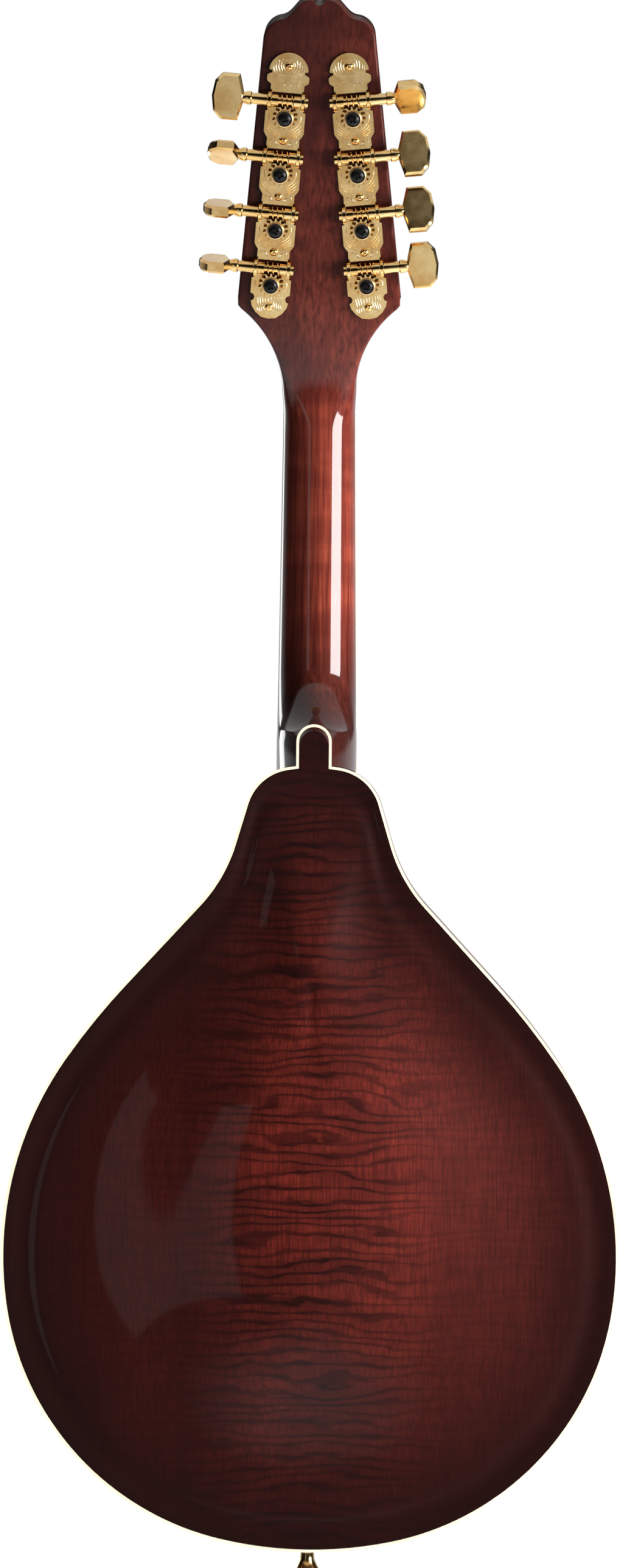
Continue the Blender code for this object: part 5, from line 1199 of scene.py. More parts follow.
def back_line(along):
    """The neck's back running into the head's back, its bend eased on both sides of the nut."""
    lean = Matrix.Rotation(-HEAD_PITCH, 4, "X")
    neck_end = BUTTON_LENGTH + HEEL_SWEEP - NECK_FREE_LENGTH

    def on_neck(height):
        growth = (NECK_DEPTH_AT_BODY - NECK_DEPTH_AT_NUT) * height / neck_end
        return Vector((0.0, BOARD_UNDER + NECK_DEPTH_AT_NUT + growth, height))
    if along <= -BEND_EASE:
        return on_neck(along)
    if along >= BEND_EASE:
        return lean @ Vector((0.0, 0.0, along))
    share = (along + BEND_EASE) / (2.0 * BEND_EASE)
    return on_neck(-BEND_EASE) * (1.0 - share) ** 2 + lean @ Vector((0.0, 0.0, BEND_EASE)) * share ** 2


def front_line(along):
    """The seat of board and nut, then the head's front."""
    past = along - NUT_SEAT_LENGTH
    if past <= 0.0:
        return Vector((0.0, BOARD_UNDER, along))
    fade = smooth(past / HEAD_EDGE_ROUND_FADE)
    height = HEAD_FACE_START + past + (NUT_SEAT_LENGTH - HEAD_FACE_START) * fade
    return Matrix.Rotation(-HEAD_PITCH, 4, "X") @ Vector((0.0, HEAD_FACE, height))


def flow_rows():
    """Rows that carry the neck's round back into the flat head and on up to its lobes."""
    upright = Matrix.Rotation(HEAD_PITCH, 4, "X")
    levels = [FLOW_START + FLOW_STEP * i for i in range(FLOW_ROWS)]
    levels += sorted({z for x, z in head_outline() if x >= HEAD_LOBE_X and z > levels[-1] + FLOW_STEP / 3.0})
    rows = []
    for along in levels:
        front = front_line(along)
        back = back_line(along)
        square = HEAD_SQUARENESS ** smooth((along + SQUARE_FROM_NUT) / SQUARE_FADE)
        row = []
        for angle in (math.pi * j / NECK_SECTION_STEPS for j in range(NECK_SECTION_STEPS + 1)):
            spot = front + (back - front) * max(math.sin(angle), 0.0) ** (NECK_BACK_POWER * square)
            half = half_at((upright @ spot).z) * abs(math.cos(angle)) ** square
            row.append(Vector((math.copysign(half, math.cos(angle)), spot.y, spot.z)))
        rows.append(row)
    return rows


def make_neck():
    bm = bmesh.new()
    skin(bm, [loop for loop in neck_loops() if loop[0].z < FLOW_START - 0.002] + flow_rows())
    neck = finish("neck", bm, neck_maple(), NECK_FRAME)
    bm = bmesh.new()
    mouth = [(HEAD_LOBE_X - 0.0012, HEAD_LOBE_HEIGHT + 0.001)]
    notch = mirrored(mouth + notch_side(), [(0.0, HEAD_NOTCH_HEIGHT)])
    prism(bm, notch, HEAD_FACE - HEAD_TOOL_REACH, HEAD_TOOL_REACH)
    carve(neck, bm, HEAD_FRAME)
    carve(neck, body_prism(SEAT_GAP))
    bm = bmesh.new()
    box(bm, (-NUT_WIDTH, RIM_BACK_Y, SHOULDER_Z - HEEL_INTO_BODY),
        (NUT_WIDTH, RIM_BACK_Y + BODY_TOOL_REACH, SHOULDER_Z + BUTTON_LENGTH + HEEL_FLAT_PAST_BUTTON))
    carve(neck, bm)
    carve(neck, post_bores(), HEAD_FRAME)
    bm = bmesh.new()
    low = HEAD_FACE_START + POCKET_FROM_NUT_EDGE
    half = ROD_POCKET_WIDTH / 2.0
    box(bm, (-half, HEAD_FACE - HEAD_TOOL_REACH, low),
        (half, HEAD_FACE + ROD_POCKET_DEPTH, low + ROD_POCKET_LENGTH))
    carve(neck, bm, HEAD_FRAME)
    bm = bmesh.new()
    bore(bm, ROD_RADIUS + SEAT_GAP, -ROD_LENGTH - SEAT_GAP, ROD_END + SEAT_GAP, "Z", (0.0, ROD_DEPTH))
    carve(neck, bm, NECK_FRAME)


def post_bores():
    """One tool with all eight post holes, through head and veneer."""
    bm = bmesh.new()
    for _, sign, index in tuner_places():
        spot = (HEAD_FRAME.inverted() @ post_frame(sign, index)).translation
        bore(bm, POST_RADIUS + POST_BORE_CLEARANCE, HEAD_FACE - HEAD_TOOL_REACH, HEAD_TOOL_REACH, "Y",
             (spot.x, spot.z))
    return bm


def make_veneer():
    bm = bmesh.new()
    outline = clip_outline(head_outline(), 1, HEAD_FACE_START + SEAT_GAP, False)
    prism(bm, outline, VENEER_FACE, HEAD_FACE - SEAT_GAP)
    veneer = finish("head_veneer", bm, black_veneer(), HEAD_FRAME)
    carve(veneer, post_bores(), HEAD_FRAME)
    bm = bmesh.new()
    half = ROD_POCKET_WIDTH / 2.0
    low = HEAD_FACE_START + WINDOW_FROM_NUT_EDGE
    high = low + ROD_POCKET_LENGTH - WINDOW_FROM_NUT_EDGE
    box(bm, (-half, HEAD_FACE - HEAD_TOOL_REACH, low), (half, HEAD_FACE + 0.001, high))
    carve(veneer, bm, HEAD_FRAME)


def make_truss_rod():
    bm = bmesh.new()
    bore(bm, ROD_RADIUS, -ROD_LENGTH, ROD_END, "Z", (0.0, ROD_DEPTH))
    finish("truss_rod", bm, nickel_steel(), NECK_FRAME)


def strip_outline():
    """The engraved tuner strip in its own frame, from the lowest post: X across, Z up the head."""
    wide = PLATE_HALF_WIDTH
    waist = PLATE_WAIST_HALF_WIDTH
    right = [(0.0, -0.0146), (0.0030, -0.0141), (0.0055, -0.0122), (0.0072, -0.0098), (0.0078, -0.0076),
             (0.0068, -0.0070), (0.0064, -0.0058), (0.0070, -0.0047), (wide, -0.0042)]
    for index in range(TUNER_COUNT):
        post = index * TUNER_PITCH
        if index > 0:
            right += [(waist, post - 0.0088), (wide - 0.0006, post - 0.0074), (wide, post - 0.0062)]
        right += [(wide, post + 0.0022), (wide - 0.0008, post + 0.0024), (waist + 0.0004, post + 0.0032)]
    top = (TUNER_COUNT - 1) * TUNER_PITCH
    right += [(waist + 0.0002, top + 0.0133), (0.0082, top + 0.0141), (0.0086, top + 0.0150),
              (0.0086, top + 0.0167), (0.0078, top + 0.0174), (0.0067, top + 0.0178), (0.0066, top + 0.0187),
              (0.0080, top + 0.0191)]
    cap = arc_points((0.0, top + 0.0182), 0.0081, math.radians(14), math.radians(90), 18)
    right += cap[1:-1]
    return right + [cap[-1]] + [(-x, z) for x, z in reversed(right[1:])]


def make_strips():
    """The two tuner plates with the ears that carry the worms."""
    for side, sign in SIDES:
        bm = bmesh.new()
        prism(bm, strip_outline(), SEAT_GAP, SEAT_GAP + PLATE_THICKNESS)
        strip = finish(f"tuner_plate_{side}", bm, gold_metal(), strip_frame(sign))
        ears = bmesh.new()
        cuts = bmesh.new()
        for index in range(TUNER_COUNT):
            post = index * TUNER_PITCH
            worm = post + WORM_OFFSET
            profile = [(SEAT_GAP, worm - EAR_RADIUS), (SEAT_GAP, worm + EAR_RADIUS)]
            profile += arc_points((WORM_AXIS_HEIGHT, worm), EAR_RADIUS, math.pi / 2.0, -math.pi / 2.0, 14)
            for ear in (-1.0, 1.0):
                inner = ear * (EAR_SPACING - EAR_THICKNESS) / 2.0
                outer = ear * (EAR_SPACING + EAR_THICKNESS) / 2.0
                prism(ears, profile, inner, outer, "X")
            reach = EAR_SPACING / 2.0 + 0.004
            bore(cuts, SHAFT_RADIUS + SHAFT_BORE_CLEARANCE, -reach, reach, "X", (WORM_AXIS_HEIGHT, worm))
            bore(cuts, POST_RADIUS + POST_BORE_CLEARANCE, -PLATE_TOOL_REACH, 3.0 * PLATE_TOOL_REACH, "Y",
                 (0.0, post))
            slot = WORM_TIP_RADIUS + WORM_SLOT_CLEARANCE
            side_wall = (EAR_SPACING - EAR_THICKNESS) / 2.0 - 0.0001
            box(cuts, (-side_wall, -PLATE_TOOL_REACH, worm - slot), (side_wall, SHAFT_RADIUS, worm + slot))
        carve(strip, ears, strip_frame(sign), operation="UNION")
        carve(strip, cuts, strip_frame(sign))


def gear_pitch_radius():
    return WORM_OFFSET - WORM_PITCH_RADIUS


def worm_lead():
    """Axial pitch of the thread: one tooth of the gear at its pitch circle."""
    return 2.0 * math.pi * gear_pitch_radius() / GEAR_TEETH


def make_gears():
    """Gear, hub and string post in one piece, turning about the post."""
    slant = GEAR_THICKNESS * worm_lead() / (2.0 * math.pi * WORM_PITCH_RADIUS * gear_pitch_radius())
    flanks = [(GEAR_ROOT_RADIUS, GEAR_TOOTH_ROOT), (GEAR_TIP_RADIUS, GEAR_TOOTH_TIP)]
    low = WORM_AXIS_HEIGHT - GEAR_THICKNESS / 2.0
    high = low + GEAR_THICKNESS
    front = VENEER_FACE
    waist = POST_RADIUS - POST_WAIST_DEPTH
    for side, sign, index in tuner_places():
        frame = post_frame(sign, index)
        bm = bmesh.new()
        loops = []
        for level, twist in ((low, -slant / 2.0), (high, slant / 2.0)):
            loop = []
            for tooth in range(GEAR_TEETH):
                centre = math.pi / 2.0 - twist - 2.0 * math.pi * tooth / GEAR_TEETH
                for radius, width in flanks + [(radius, -width) for radius, width in reversed(flanks)]:
                    angle = centre + width / 2.0 / radius
                    loop.append(Vector((radius * math.cos(angle), level, radius * math.sin(angle))))
            loops.append(loop)
        skin(bm, loops)
        name = f"tuner_gear_{side}_{index + 1}"
        gear = finish(name, bm, gold_metal(), frame)
        bm = bmesh.new()
        collar = SEAT_GAP + PLATE_THICKNESS + SEAT_GAP
        end = front - POST_STANDOUT
        profile = [(GEAR_HUB_RADIUS - HUB_BEVEL, high + GEAR_HUB_HEIGHT), (GEAR_HUB_RADIUS, high + HUB_BEVEL),
                   (GEAR_HUB_RADIUS, collar), (POST_RADIUS, collar)]
        radii = (POST_RADIUS, waist, waist, POST_RADIUS)
        profile += [(radius, front - standout) for radius, standout in zip(radii, POST_WAIST_STANDOUT)]
        profile.append((POST_RADIUS - POST_END_BEVEL, end))
        turned(bm, profile, SHAFT_SIDES, "Y")
        carve(gear, bm, frame, operation="UNION")


def worm_core(bm, reach):
    """The worm between its sleeves: one thread wound on the core and fading out at both ends."""
    lead = worm_lead()
    columns = []
    for i in range(SHAFT_SIDES + 1):
        angle = 2.0 * math.pi * i / SHAFT_SIDES
        column = [(-reach, WORM_ROOT_RADIUS)]
        for number in range(-3, 3):
            middle = lead * (number + 0.75 + i / SHAFT_SIDES)
            for along, radius in ((-WORM_THREAD_ROOT, WORM_ROOT_RADIUS), (-WORM_THREAD_TIP, WORM_TIP_RADIUS),
                                  (WORM_THREAD_TIP, WORM_TIP_RADIUS), (WORM_THREAD_ROOT, WORM_ROOT_RADIUS)):
                x = middle + along / 2.0
                inside = abs(x) < reach
                column.append((x, radius) if inside else (math.copysign(reach, x), WORM_ROOT_RADIUS))
        column.append((reach, WORM_ROOT_RADIUS))
        columns.append([Vector((x, radius * math.cos(angle), radius * math.sin(angle)))
                        for x, radius in column])
    skin(bm, columns, closed=False, caps=False)


def key_outline():
    """The flat of a tuner key: A along the shaft from its inner point, B across."""
    half = KEY_WIDTH / 2.0
    inner = KEY_INNER_SHARE * KEY_LENGTH
    outer = KEY_OUTER_SHARE * KEY_LENGTH
    bulge = [(outer + (KEY_LENGTH - outer) * math.cos(a), half * math.sin(a))
             for a in (KEY_END_TURN, 0.0, -KEY_END_TURN)]
    upper = [(0.0, KEY_NECK_HALF_WIDTH), (inner, half), (outer, half)]
    return upper + bulge + [(a, -b) for a, b in reversed(upper)]


def tuner_key(bm, sign, turn):
    """A bevelled key on the shaft's outer end, turned about the shaft."""
    outline = [(sign * (KEY_FROM_GEAR + a), b) for a, b in key_outline()]
    if sign < 0:
        outline.reverse()
    inset = offset_loop(outline, -KEY_EDGE_BEVEL)
    inset = offset_loop(outline, KEY_EDGE_BEVEL) if loop_area(inset) > loop_area(outline) else inset
    half = KEY_THICKNESS / 2.0
    spin = Matrix.Rotation(turn, 4, "X")
    full = half - KEY_EDGE_BEVEL
    levels = ((inset, -half), (outline, -full), (outline, full), (inset, half))
    skin(bm, [[spin @ Vector((a, depth, b)) for a, b in line] for line, depth in levels])


def loop_area(points):
    return abs(sum(p[0] * q[1] - q[0] * p[1] for p, q in zip(points, points[1:] + points[:1]))) / 2.0


def make_worms():
    """Worm shafts with their keys, turning in the ears of the strips."""
    ear_face = (EAR_SPACING + EAR_THICKNESS) / 2.0
    outside = ear_face + SEAT_GAP
    inside = (EAR_SPACING - EAR_THICKNESS) / 2.0 - SEAT_GAP
    sleeve = SLEEVE_FROM_MIDDLE
    middle = ear_face + STEM_LENGTH
    for side, sign, index in tuner_places():
        frame = post_frame(sign, index) @ Matrix.Translation((0.0, WORM_AXIS_HEIGHT, WORM_OFFSET))
        inner_end = [(SHAFT_END_RADIUS, -ear_face - SHAFT_END_LENGTH), (SHAFT_END_RADIUS, -outside),
                     (SHAFT_RADIUS, -outside), (SHAFT_RADIUS, -inside),
                     (SLEEVE_RADIUS, -inside), (SLEEVE_RADIUS, -sleeve), (WORM_ROOT_RADIUS, -sleeve)]
        outer_end = [(WORM_ROOT_RADIUS, sleeve), (SLEEVE_RADIUS, sleeve), (SLEEVE_RADIUS, inside),
                     (SHAFT_RADIUS, inside), (SHAFT_RADIUS, outside), (COLLAR_RADIUS, outside),
                     (STEM_RADIUS, middle), (BEAD_RADIUS, middle + BEAD_SHOULDER),
                     (BEAD_RADIUS, middle + BEAD_SHOULDER + BEAD_LENGTH),
                     (KEY_NECK_RADIUS, KEY_FROM_GEAR + KEY_NECK_OVERLAP)]
        bm = bmesh.new()
        for profile, end in ((inner_end, 0), (outer_end, -1)):
            loops = [ring(radius, sign * along, SHAFT_SIDES, "X") for radius, along in profile]
            rows = skin(bm, loops, caps=False)
            bm.faces.new(rows[end])
        worm_core(bm, sleeve)
        bmesh.ops.remove_doubles(bm, verts=bm.verts[:], dist=WORM_MERGE_DISTANCE)
        worm = finish(f"tuner_worm_{side}_{index + 1}", bm, gold_metal(), frame)
        turns = KEY_TURNS_LEFT if sign > 0 else KEY_TURNS_RIGHT
        bm = bmesh.new()
        tuner_key(bm, sign, math.radians(turns[TUNER_COUNT - 1 - index]))
        carve(worm, bm, frame, operation="UNION")


# The strings' plane over the bridge
STRING_AT_BRIDGE = from_neck(0.0, BOARD_TOP - STRINGS_OVER_BOARD_AT_BRIDGE, -SCALE_LENGTH)
BRIDGE_Z = STRING_AT_BRIDGE.z


def foot_top_y(tree):
    """Level of the flat top of the bridge foot."""
    return outer_top_y(tree, 0.0, BRIDGE_Z) - BRIDGE_FOOT_HEIGHT


def wheel_level(tree):
    """Front face of the thumbwheels: what is left under the saddle when it is fully lowered."""
    return foot_top_y(tree) - SEAT_GAP - SADDLE_DROP - THUMBWHEEL_THICKNESS


def saddle_crest(x):
    """Level of the saddle's crest, flat under the strings and falling to its ends, and the fall's share."""
    half = SADDLE_LENGTH / 2.0
    flat = COURSE_SPREAD_AT_BRIDGE / 2.0 + SADDLE_FLAT_PAST_STRINGS
    fall = min(max((abs(x) - flat) / (half - flat), 0.0), 1.0)
    return STRING_AT_BRIDGE.y + SEAT_GAP + SADDLE_CREST_FALL * fall, fall


def saddle_bore_end():
    """Where the saddle's post holes end, under what is left of the wood."""
    return saddle_crest(BRIDGE_POST_SPACING / 2.0)[0] + SADDLE_ROOF


def make_bridge_foot(tree):
    """The foot, fitted to the carved top, with a relief between its two feet."""
    half = BRIDGE_FOOT_LENGTH / 2.0
    flat = foot_top_y(tree)
    loops = []
    for i in range(FOOT_STATIONS + 1):
        x = half * (2.0 * i / FOOT_STATIONS - 1.0)
        seat = min(outer_top_y(tree, x, BRIDGE_Z + k * BRIDGE_FOOT_THICKNESS / 2.0) for k in (-1.0, 0.0, 1.0))
        lift = BRIDGE_FOOT_LIFT if abs(x) < BRIDGE_FOOT_RELIEF / 2.0 else 0.0
        drop = max(abs(x) - FOOT_FLAT_SHARE * half, 0.0) / ((1.0 - FOOT_FLAT_SHARE) * half)
        top = flat + (seat - BRIDGE_FOOT_END_HEIGHT - flat) * drop ** 2
        base = BRIDGE_FOOT_THICKNESS / 2.0
        crown = FOOT_TOP_SHARE * base
        bottom = seat - SEAT_GAP - lift
        loops.append([Vector((x, level, BRIDGE_Z + z))
                      for level, z in ((bottom, -base), (bottom, base), (top, crown), (top, -crown))])
    bm = bmesh.new()
    skin(bm, loops)
    foot = finish("bridge_foot", bm, dark_wood())
    bm = bmesh.new()
    for sign in (1.0, -1.0):
        place = (sign * BRIDGE_POST_SPACING / 2.0, BRIDGE_Z)
        radius = BRIDGE_POST_RADIUS + SEAT_GAP
        bore(bm, radius, flat - BODY_TOOL_REACH, flat + BRIDGE_FOOT_BORE_DEPTH, "Y", place)
    carve(foot, bm)
    carve(foot, top_seat())


def make_bridge_posts(tree):
    flat = foot_top_y(tree)
    for side, sign in SIDES:
        place = Matrix.Translation((sign * BRIDGE_POST_SPACING / 2.0, 0.0, BRIDGE_Z))
        bm = bmesh.new()
        top = saddle_bore_end() + SADDLE_DROP + SEAT_GAP
        bore(bm, BRIDGE_POST_RADIUS, flat + BRIDGE_FOOT_BORE_DEPTH - SEAT_GAP, top)
        finish(f"bridge_post_{side}", bm, gold_metal(), place)
        level = wheel_level(tree)
        place = Matrix.Translation((sign * BRIDGE_POST_SPACING / 2.0, level, BRIDGE_Z))
        bm = bmesh.new()
        inner = BRIDGE_POST_RADIUS + SEAT_GAP
        outer = THUMBWHEEL_RADIUS
        turned_ring(bm, [
            (inner, 0.0), (outer - THUMBWHEEL_BEVEL, 0.0), (outer, THUMBWHEEL_BEVEL),
            (outer, THUMBWHEEL_THICKNESS - THUMBWHEEL_BEVEL),
            (outer - THUMBWHEEL_BEVEL, THUMBWHEEL_THICKNESS), (inner, THUMBWHEEL_THICKNESS), (inner, 0.0)])
        finish(f"thumbwheel_{side}", bm, gold_metal(), place)


def course_places(spread):
    """X of all eight strings across a spread, from the bass side, in four close pairs."""
    places = []
    for course in range(4):
        middle = -spread / 2.0 + spread * course / 3.0
        places += [middle - PAIR_SPACING / 2.0, middle + PAIR_SPACING / 2.0]
    return places


# Where along half its length the saddle's shape changes, and its crest's thickness at the ends
SADDLE_STATIONS = (-1.0, -0.93, -0.80, -0.62, 0.0, 0.62, 0.80, 0.93, 1.0)
SADDLE_END_SHARE = 0.85


def make_saddle(tree):
    """The adjustable saddle: it rides on the thumbwheels and slides on the posts."""
    bottom = wheel_level(tree) - SEAT_GAP
    half = SADDLE_LENGTH / 2.0
    loops = []
    for share in SADDLE_STATIONS:
        x = share * half
        crest, fall = saddle_crest(x)
        thick = SADDLE_THICKNESS / 2.0
        crest_half = SADDLE_CREST_THICKNESS / 2.0
        thin = crest_half + (thick * SADDLE_END_SHARE - crest_half) * fall
        waist = crest + SADDLE_CREST_HEIGHT
        loops.append([Vector((x, bottom, BRIDGE_Z - thick)), Vector((x, bottom, BRIDGE_Z + thick)),
                      Vector((x, waist, BRIDGE_Z + thick)), Vector((x, crest, BRIDGE_Z + thin)),
                      Vector((x, crest, BRIDGE_Z - thin)), Vector((x, waist, BRIDGE_Z - thick))])
    bm = bmesh.new()
    skin(bm, loops)
    saddle = finish("bridge_saddle", bm, dark_wood())
    bm = bmesh.new()
    for sign in (1.0, -1.0):
        bore(bm, BRIDGE_POST_RADIUS + SEAT_GAP, bottom + BODY_TOOL_REACH, saddle_bore_end(), "Y",
             (sign * BRIDGE_POST_SPACING / 2.0, BRIDGE_Z))
    carve(saddle, bm)


# The tailpiece's own frame: origin on the top's edge at the tail, its sheet rising towards the bridge
TAIL_FRAME = Matrix.Translation((0.0, FRONT_EDGE_Y - SEAT_GAP, TAIL_Z - SEAT_GAP)) \
    @ Matrix.Rotation(TAILPIECE_PITCH, 4, "X")


# The end pin: radius past its neck or short of its head, and standout from the tail
PIN_NECK_PROFILE = ((-0.0004, -PIN_SHANK_LENGTH), (0.0, 0.0), (0.0008, 0.0001), (0.0004, 0.0012),
                    (0.0, 0.0030), (0.0002, 0.0055))
PIN_HEAD_PROFILE = ((0.0006, 0.0084), (0.0, 0.0094), (0.0002, 0.0104), (0.0012, PIN_LENGTH))


def make_end_pin():
    """The strap pin: a flared button on a shank that goes into the tail block."""
    face = TAIL_Z - SEAT_GAP - TAILPIECE_SHEET - SEAT_GAP
    profile = [(PIN_NECK_RADIUS + past, face - standout) for past, standout in PIN_NECK_PROFILE]
    profile += [(PIN_HEAD_RADIUS - short, face - standout) for short, standout in PIN_HEAD_PROFILE]
    frame = Matrix.Translation((0.0, RIM_MID_Y, 0.0))
    bm = bmesh.new()
    turned(bm, profile, ROUND_SIDES)
    finish("end_pin", bm, gold_metal(), frame)


def string_post(number):
    """Side name, sign and index of the post that a string goes to."""
    if number < TUNER_COUNT:
        return "bass", -1.0, number
    return "treble", 1.0, STRING_COUNT - 1 - number


def string_look(number):
    return wound_string() if number < TUNER_COUNT else nickel_steel()


# A string's hook from the tailpiece's end, and its fall over the nut as a share of the head's pitch
HOOK_FROM_END = 0.0030
NUT_FALL_SHARE = 0.7
NUT_FALL_EASE = 0.0004
STRING_BEVEL_STEPS = 5


def string_route(number):
    """A string's bends: hook, saddle, nut and post, with its centre line."""
    radius = COURSE_RADII[number // 2]
    tail_x = course_places(COURSE_SPREAD_AT_TAIL)[number]
    place = Vector((tail_x, -TAILPIECE_SHEET - STRING_ON_HOOK - radius, TAILPIECE_LENGTH - HOOK_FROM_END))
    hook = TAIL_FRAME @ place
    saddle_x = course_places(COURSE_SPREAD_AT_BRIDGE)[number]
    over_saddle = Vector((saddle_x, STRING_AT_BRIDGE.y - radius, BRIDGE_Z))
    nut_x = course_places(COURSE_SPREAD_AT_NUT)[number]
    crest = BOARD_TOP - NUT_HEIGHT_OVER_BOARD - SEAT_GAP - radius
    over_nut = from_neck(nut_x, crest, SEAT_GAP)
    fall = NUT_LENGTH * math.tan(HEAD_PITCH * NUT_FALL_SHARE) - NUT_FALL_EASE
    behind_nut = from_neck(nut_x, crest + fall, NUT_LENGTH)
    side, sign, index = string_post(number)
    spot = post_frame(sign, index) @ Vector((-sign * (POST_RADIUS + SEAT_GAP + radius), 0.0, 0.0))
    in_head = HEAD_FRAME.inverted() @ spot
    at_post = HEAD_FRAME @ Vector((in_head.x, VENEER_FACE - STRING_ON_POST, in_head.z))
    return radius, [hook, over_saddle, over_nut, behind_nut, at_post]


def make_strings():
    """Eight strings along their real route, each bend eased by two points."""
    for number in range(STRING_COUNT):
        radius, bends = string_route(number)
        points = [bends[0]]
        for before, here, after in zip(bends, bends[1:], bends[2:]):
            points += [here + (near - here).normalized() * STRING_BEND for near in (before, after)]
        points.append(bends[-1])
        curve = bpy.data.curves.new(f"string_{number + 1}", "CURVE")
        curve.dimensions = "3D"
        curve.bevel_depth = radius
        curve.bevel_resolution = STRING_BEVEL_STEPS
        curve.use_fill_caps = True
        spline = curve.splines.new("POLY")
        spline.points.add(len(points) - 1)
        for point, place in zip(spline.points, points):
            point.co = (*place, 1.0)
        curve.materials.append(string_look(number))
        obj = bpy.data.objects.new(f"string_{number + 1}_look", curve)
        bpy.context.scene.collection.objects.link(obj)
        SHOWN[f"string_{number + 1}"] = obj


# The riser under the board: its ends, its inset from the board's sides and its thinnest wood
RISER_STEPS = 24
RISER_SHORT_OF_BOARD = 0.0015
RISER_PAST_SHOULDER = 0.004
RISER_INSET = 0.0020
RISER_SPAN = 0.002
RISER_THINNEST = 0.0008


def make_board_riser(tree):
    """The wedge that carries the board over the top, fitted to the carving."""
    bm = bmesh.new()
    loops = []
    last = RISER_SHORT_OF_BOARD - BOARD_END_FROM_NUT
    first = RISER_PAST_SHOULDER - NECK_FREE_LENGTH
    for i in range(RISER_STEPS + 1):
        height = first + (last - first) * i / RISER_STEPS
        half = board_half_width(max(height, -NECK_FREE_LENGTH)) - RISER_INSET
        loop = [from_neck(side * half, BOARD_UNDER, height) for side in (-1.0, 1.0)]
        under = []
        for share in (1.0, 0.0, -1.0):
            corner = from_neck(share * half, BOARD_UNDER, height)
            level = min(outer_top_y(tree, corner.x, corner.z + k) for k in (-RISER_SPAN, 0.0, RISER_SPAN))
            under.append(Vector((corner.x, max(level - SEAT_GAP, corner.y + RISER_THINNEST), corner.z)))
        loops.append(loop + under)
    skin(bm, loops)
    riser = finish("board_riser", bm, side_maple())
    carve(riser, body_prism(0.0), operation="INTERSECT")
    carve(riser, top_seat())


# Fine pieces that only the looks have
PLATE_FACE = SEAT_GAP + PLATE_THICKNESS
HUB_FACE = WORM_AXIS_HEIGHT + GEAR_THICKNESS / 2.0 + GEAR_HUB_HEIGHT
SCREW_BELOW_GEAR = 0.0096
CAP_SCREW_ABOVE_GEAR = 0.0209
SCREW_SUNK = 0.0002
DOME_SIDES = 36
DOME_STEPS = 7
CROSS_LENGTH = 0.62
CROSS_WIDTH = 0.16
ENGRAVING_HALF_WIDTH = 0.00017
ENGRAVING_HEIGHT = 0.00009
ENGRAVING_SUNK = 0.00002
WINDING_TURNS = 3.2
WINDING_STEPS = 20
WINDING_PITCH = 2.15
WINDING_BITE = 0.00045
TRIM_THICKNESS = 0.0007
TRIM_STANDOUT = 0.00012
TRIM_LIFT = 0.00002
TRIM_STATIONS = 24
DOT_RADIUS = 0.0022
DOT_PAIR_HALF_SPACING = 0.0062
DOTTED_FRETS = (5, 7, 10, 12, 15)
ROSETTE_STEPS = 144
ROSETTE_LIFT = 0.00006
ROSETTE_SUNK = 0.0004
# Rings round the soundhole: distance of both edges from the hole, and the tone
ROSETTE_RINGS = ((0.0012, 0.0020, "cream"), (0.0020, 0.0028, "black"), (0.0028, 0.0036, "cream"),
                 (0.0058, 0.0066, "cream"), (0.0066, 0.0078, "black"), (0.0078, 0.0086, "cream"))
# Screws of a head's or tail's front: radius and rise
COVER_SCREW = (0.0013, 0.0007)
APRON_SCREW = (0.0021, 0.0011)
GEAR_SCREW = (0.0029, 0.0015)
PLATE_SCREW = (0.0017, 0.0011)


def make_screw(name, look, frame_matrix, spot, base, size, body, turn):
    """A domed cross-head screw that stands along +Y from a base level, at a spot on X and Z."""
    radius, rise = size
    profile = [(radius * 0.97, base), (radius, base + 0.12 * rise)]
    for step in range(1, DOME_STEPS):
        angle = math.pi / 2.0 * step / DOME_STEPS
        profile.append((radius * math.cos(angle), base + rise * (0.12 + 0.88 * math.sin(angle))))
    profile.append((radius * 0.08, base + rise))
    bm = bmesh.new()
    turned(bm, profile, DOME_SIDES, "Y", spot)
    screw = extra(name, bm, look, frame_matrix, body)
    for bar in range(2):
        spin = Matrix.Rotation(turn + bar * math.pi / 2.0, 4, "Y")
        loops = []
        for level, share in ((base + 0.25 * rise, 0.45), (base + 1.2 * rise, 1.0)):
            long = CROSS_LENGTH * radius * share
            thin = CROSS_WIDTH * radius
            loops.append([Vector((spot[0], level, spot[1])) + spin @ Vector((a * long, 0.0, b * thin))
                          for a, b in ((-1, -1), (1, -1), (1, 1), (-1, 1))])
        bm = bmesh.new()
        skin(bm, loops)
        carve(screw, bm, frame_matrix)


HUB_RING_PROFILE = ((0.0029, -SCREW_SUNK), (0.0034, -SCREW_SUNK), (0.00352, 0.0), (0.0034, 0.00035),
                    (0.0031, 0.00045), (0.0029, 0.0002), (0.0029, -SCREW_SUNK))


def make_gear_screws():
    """The black screw of each gear, and the pale ring it sits in."""
    for side, sign, index in tuner_places():
        body = BODY_OF[f"tuner_gear_{side}_{index + 1}"]
        turn = 0.5 + 1.1 * index + (0.4 if sign > 0 else 0.0)
        make_screw(f"gear_screw_{side}_{index + 1}", black_steel(), post_frame(sign, index), (0.0, 0.0),
                   HUB_FACE - SCREW_SUNK, GEAR_SCREW, body, turn)
        bm = bmesh.new()
        turned_ring(bm, [(radius, HUB_FACE + standout) for radius, standout in HUB_RING_PROFILE])
        extra(f"hub_ring_{side}_{index + 1}", bm, hub_gold(), post_frame(sign, index), body)


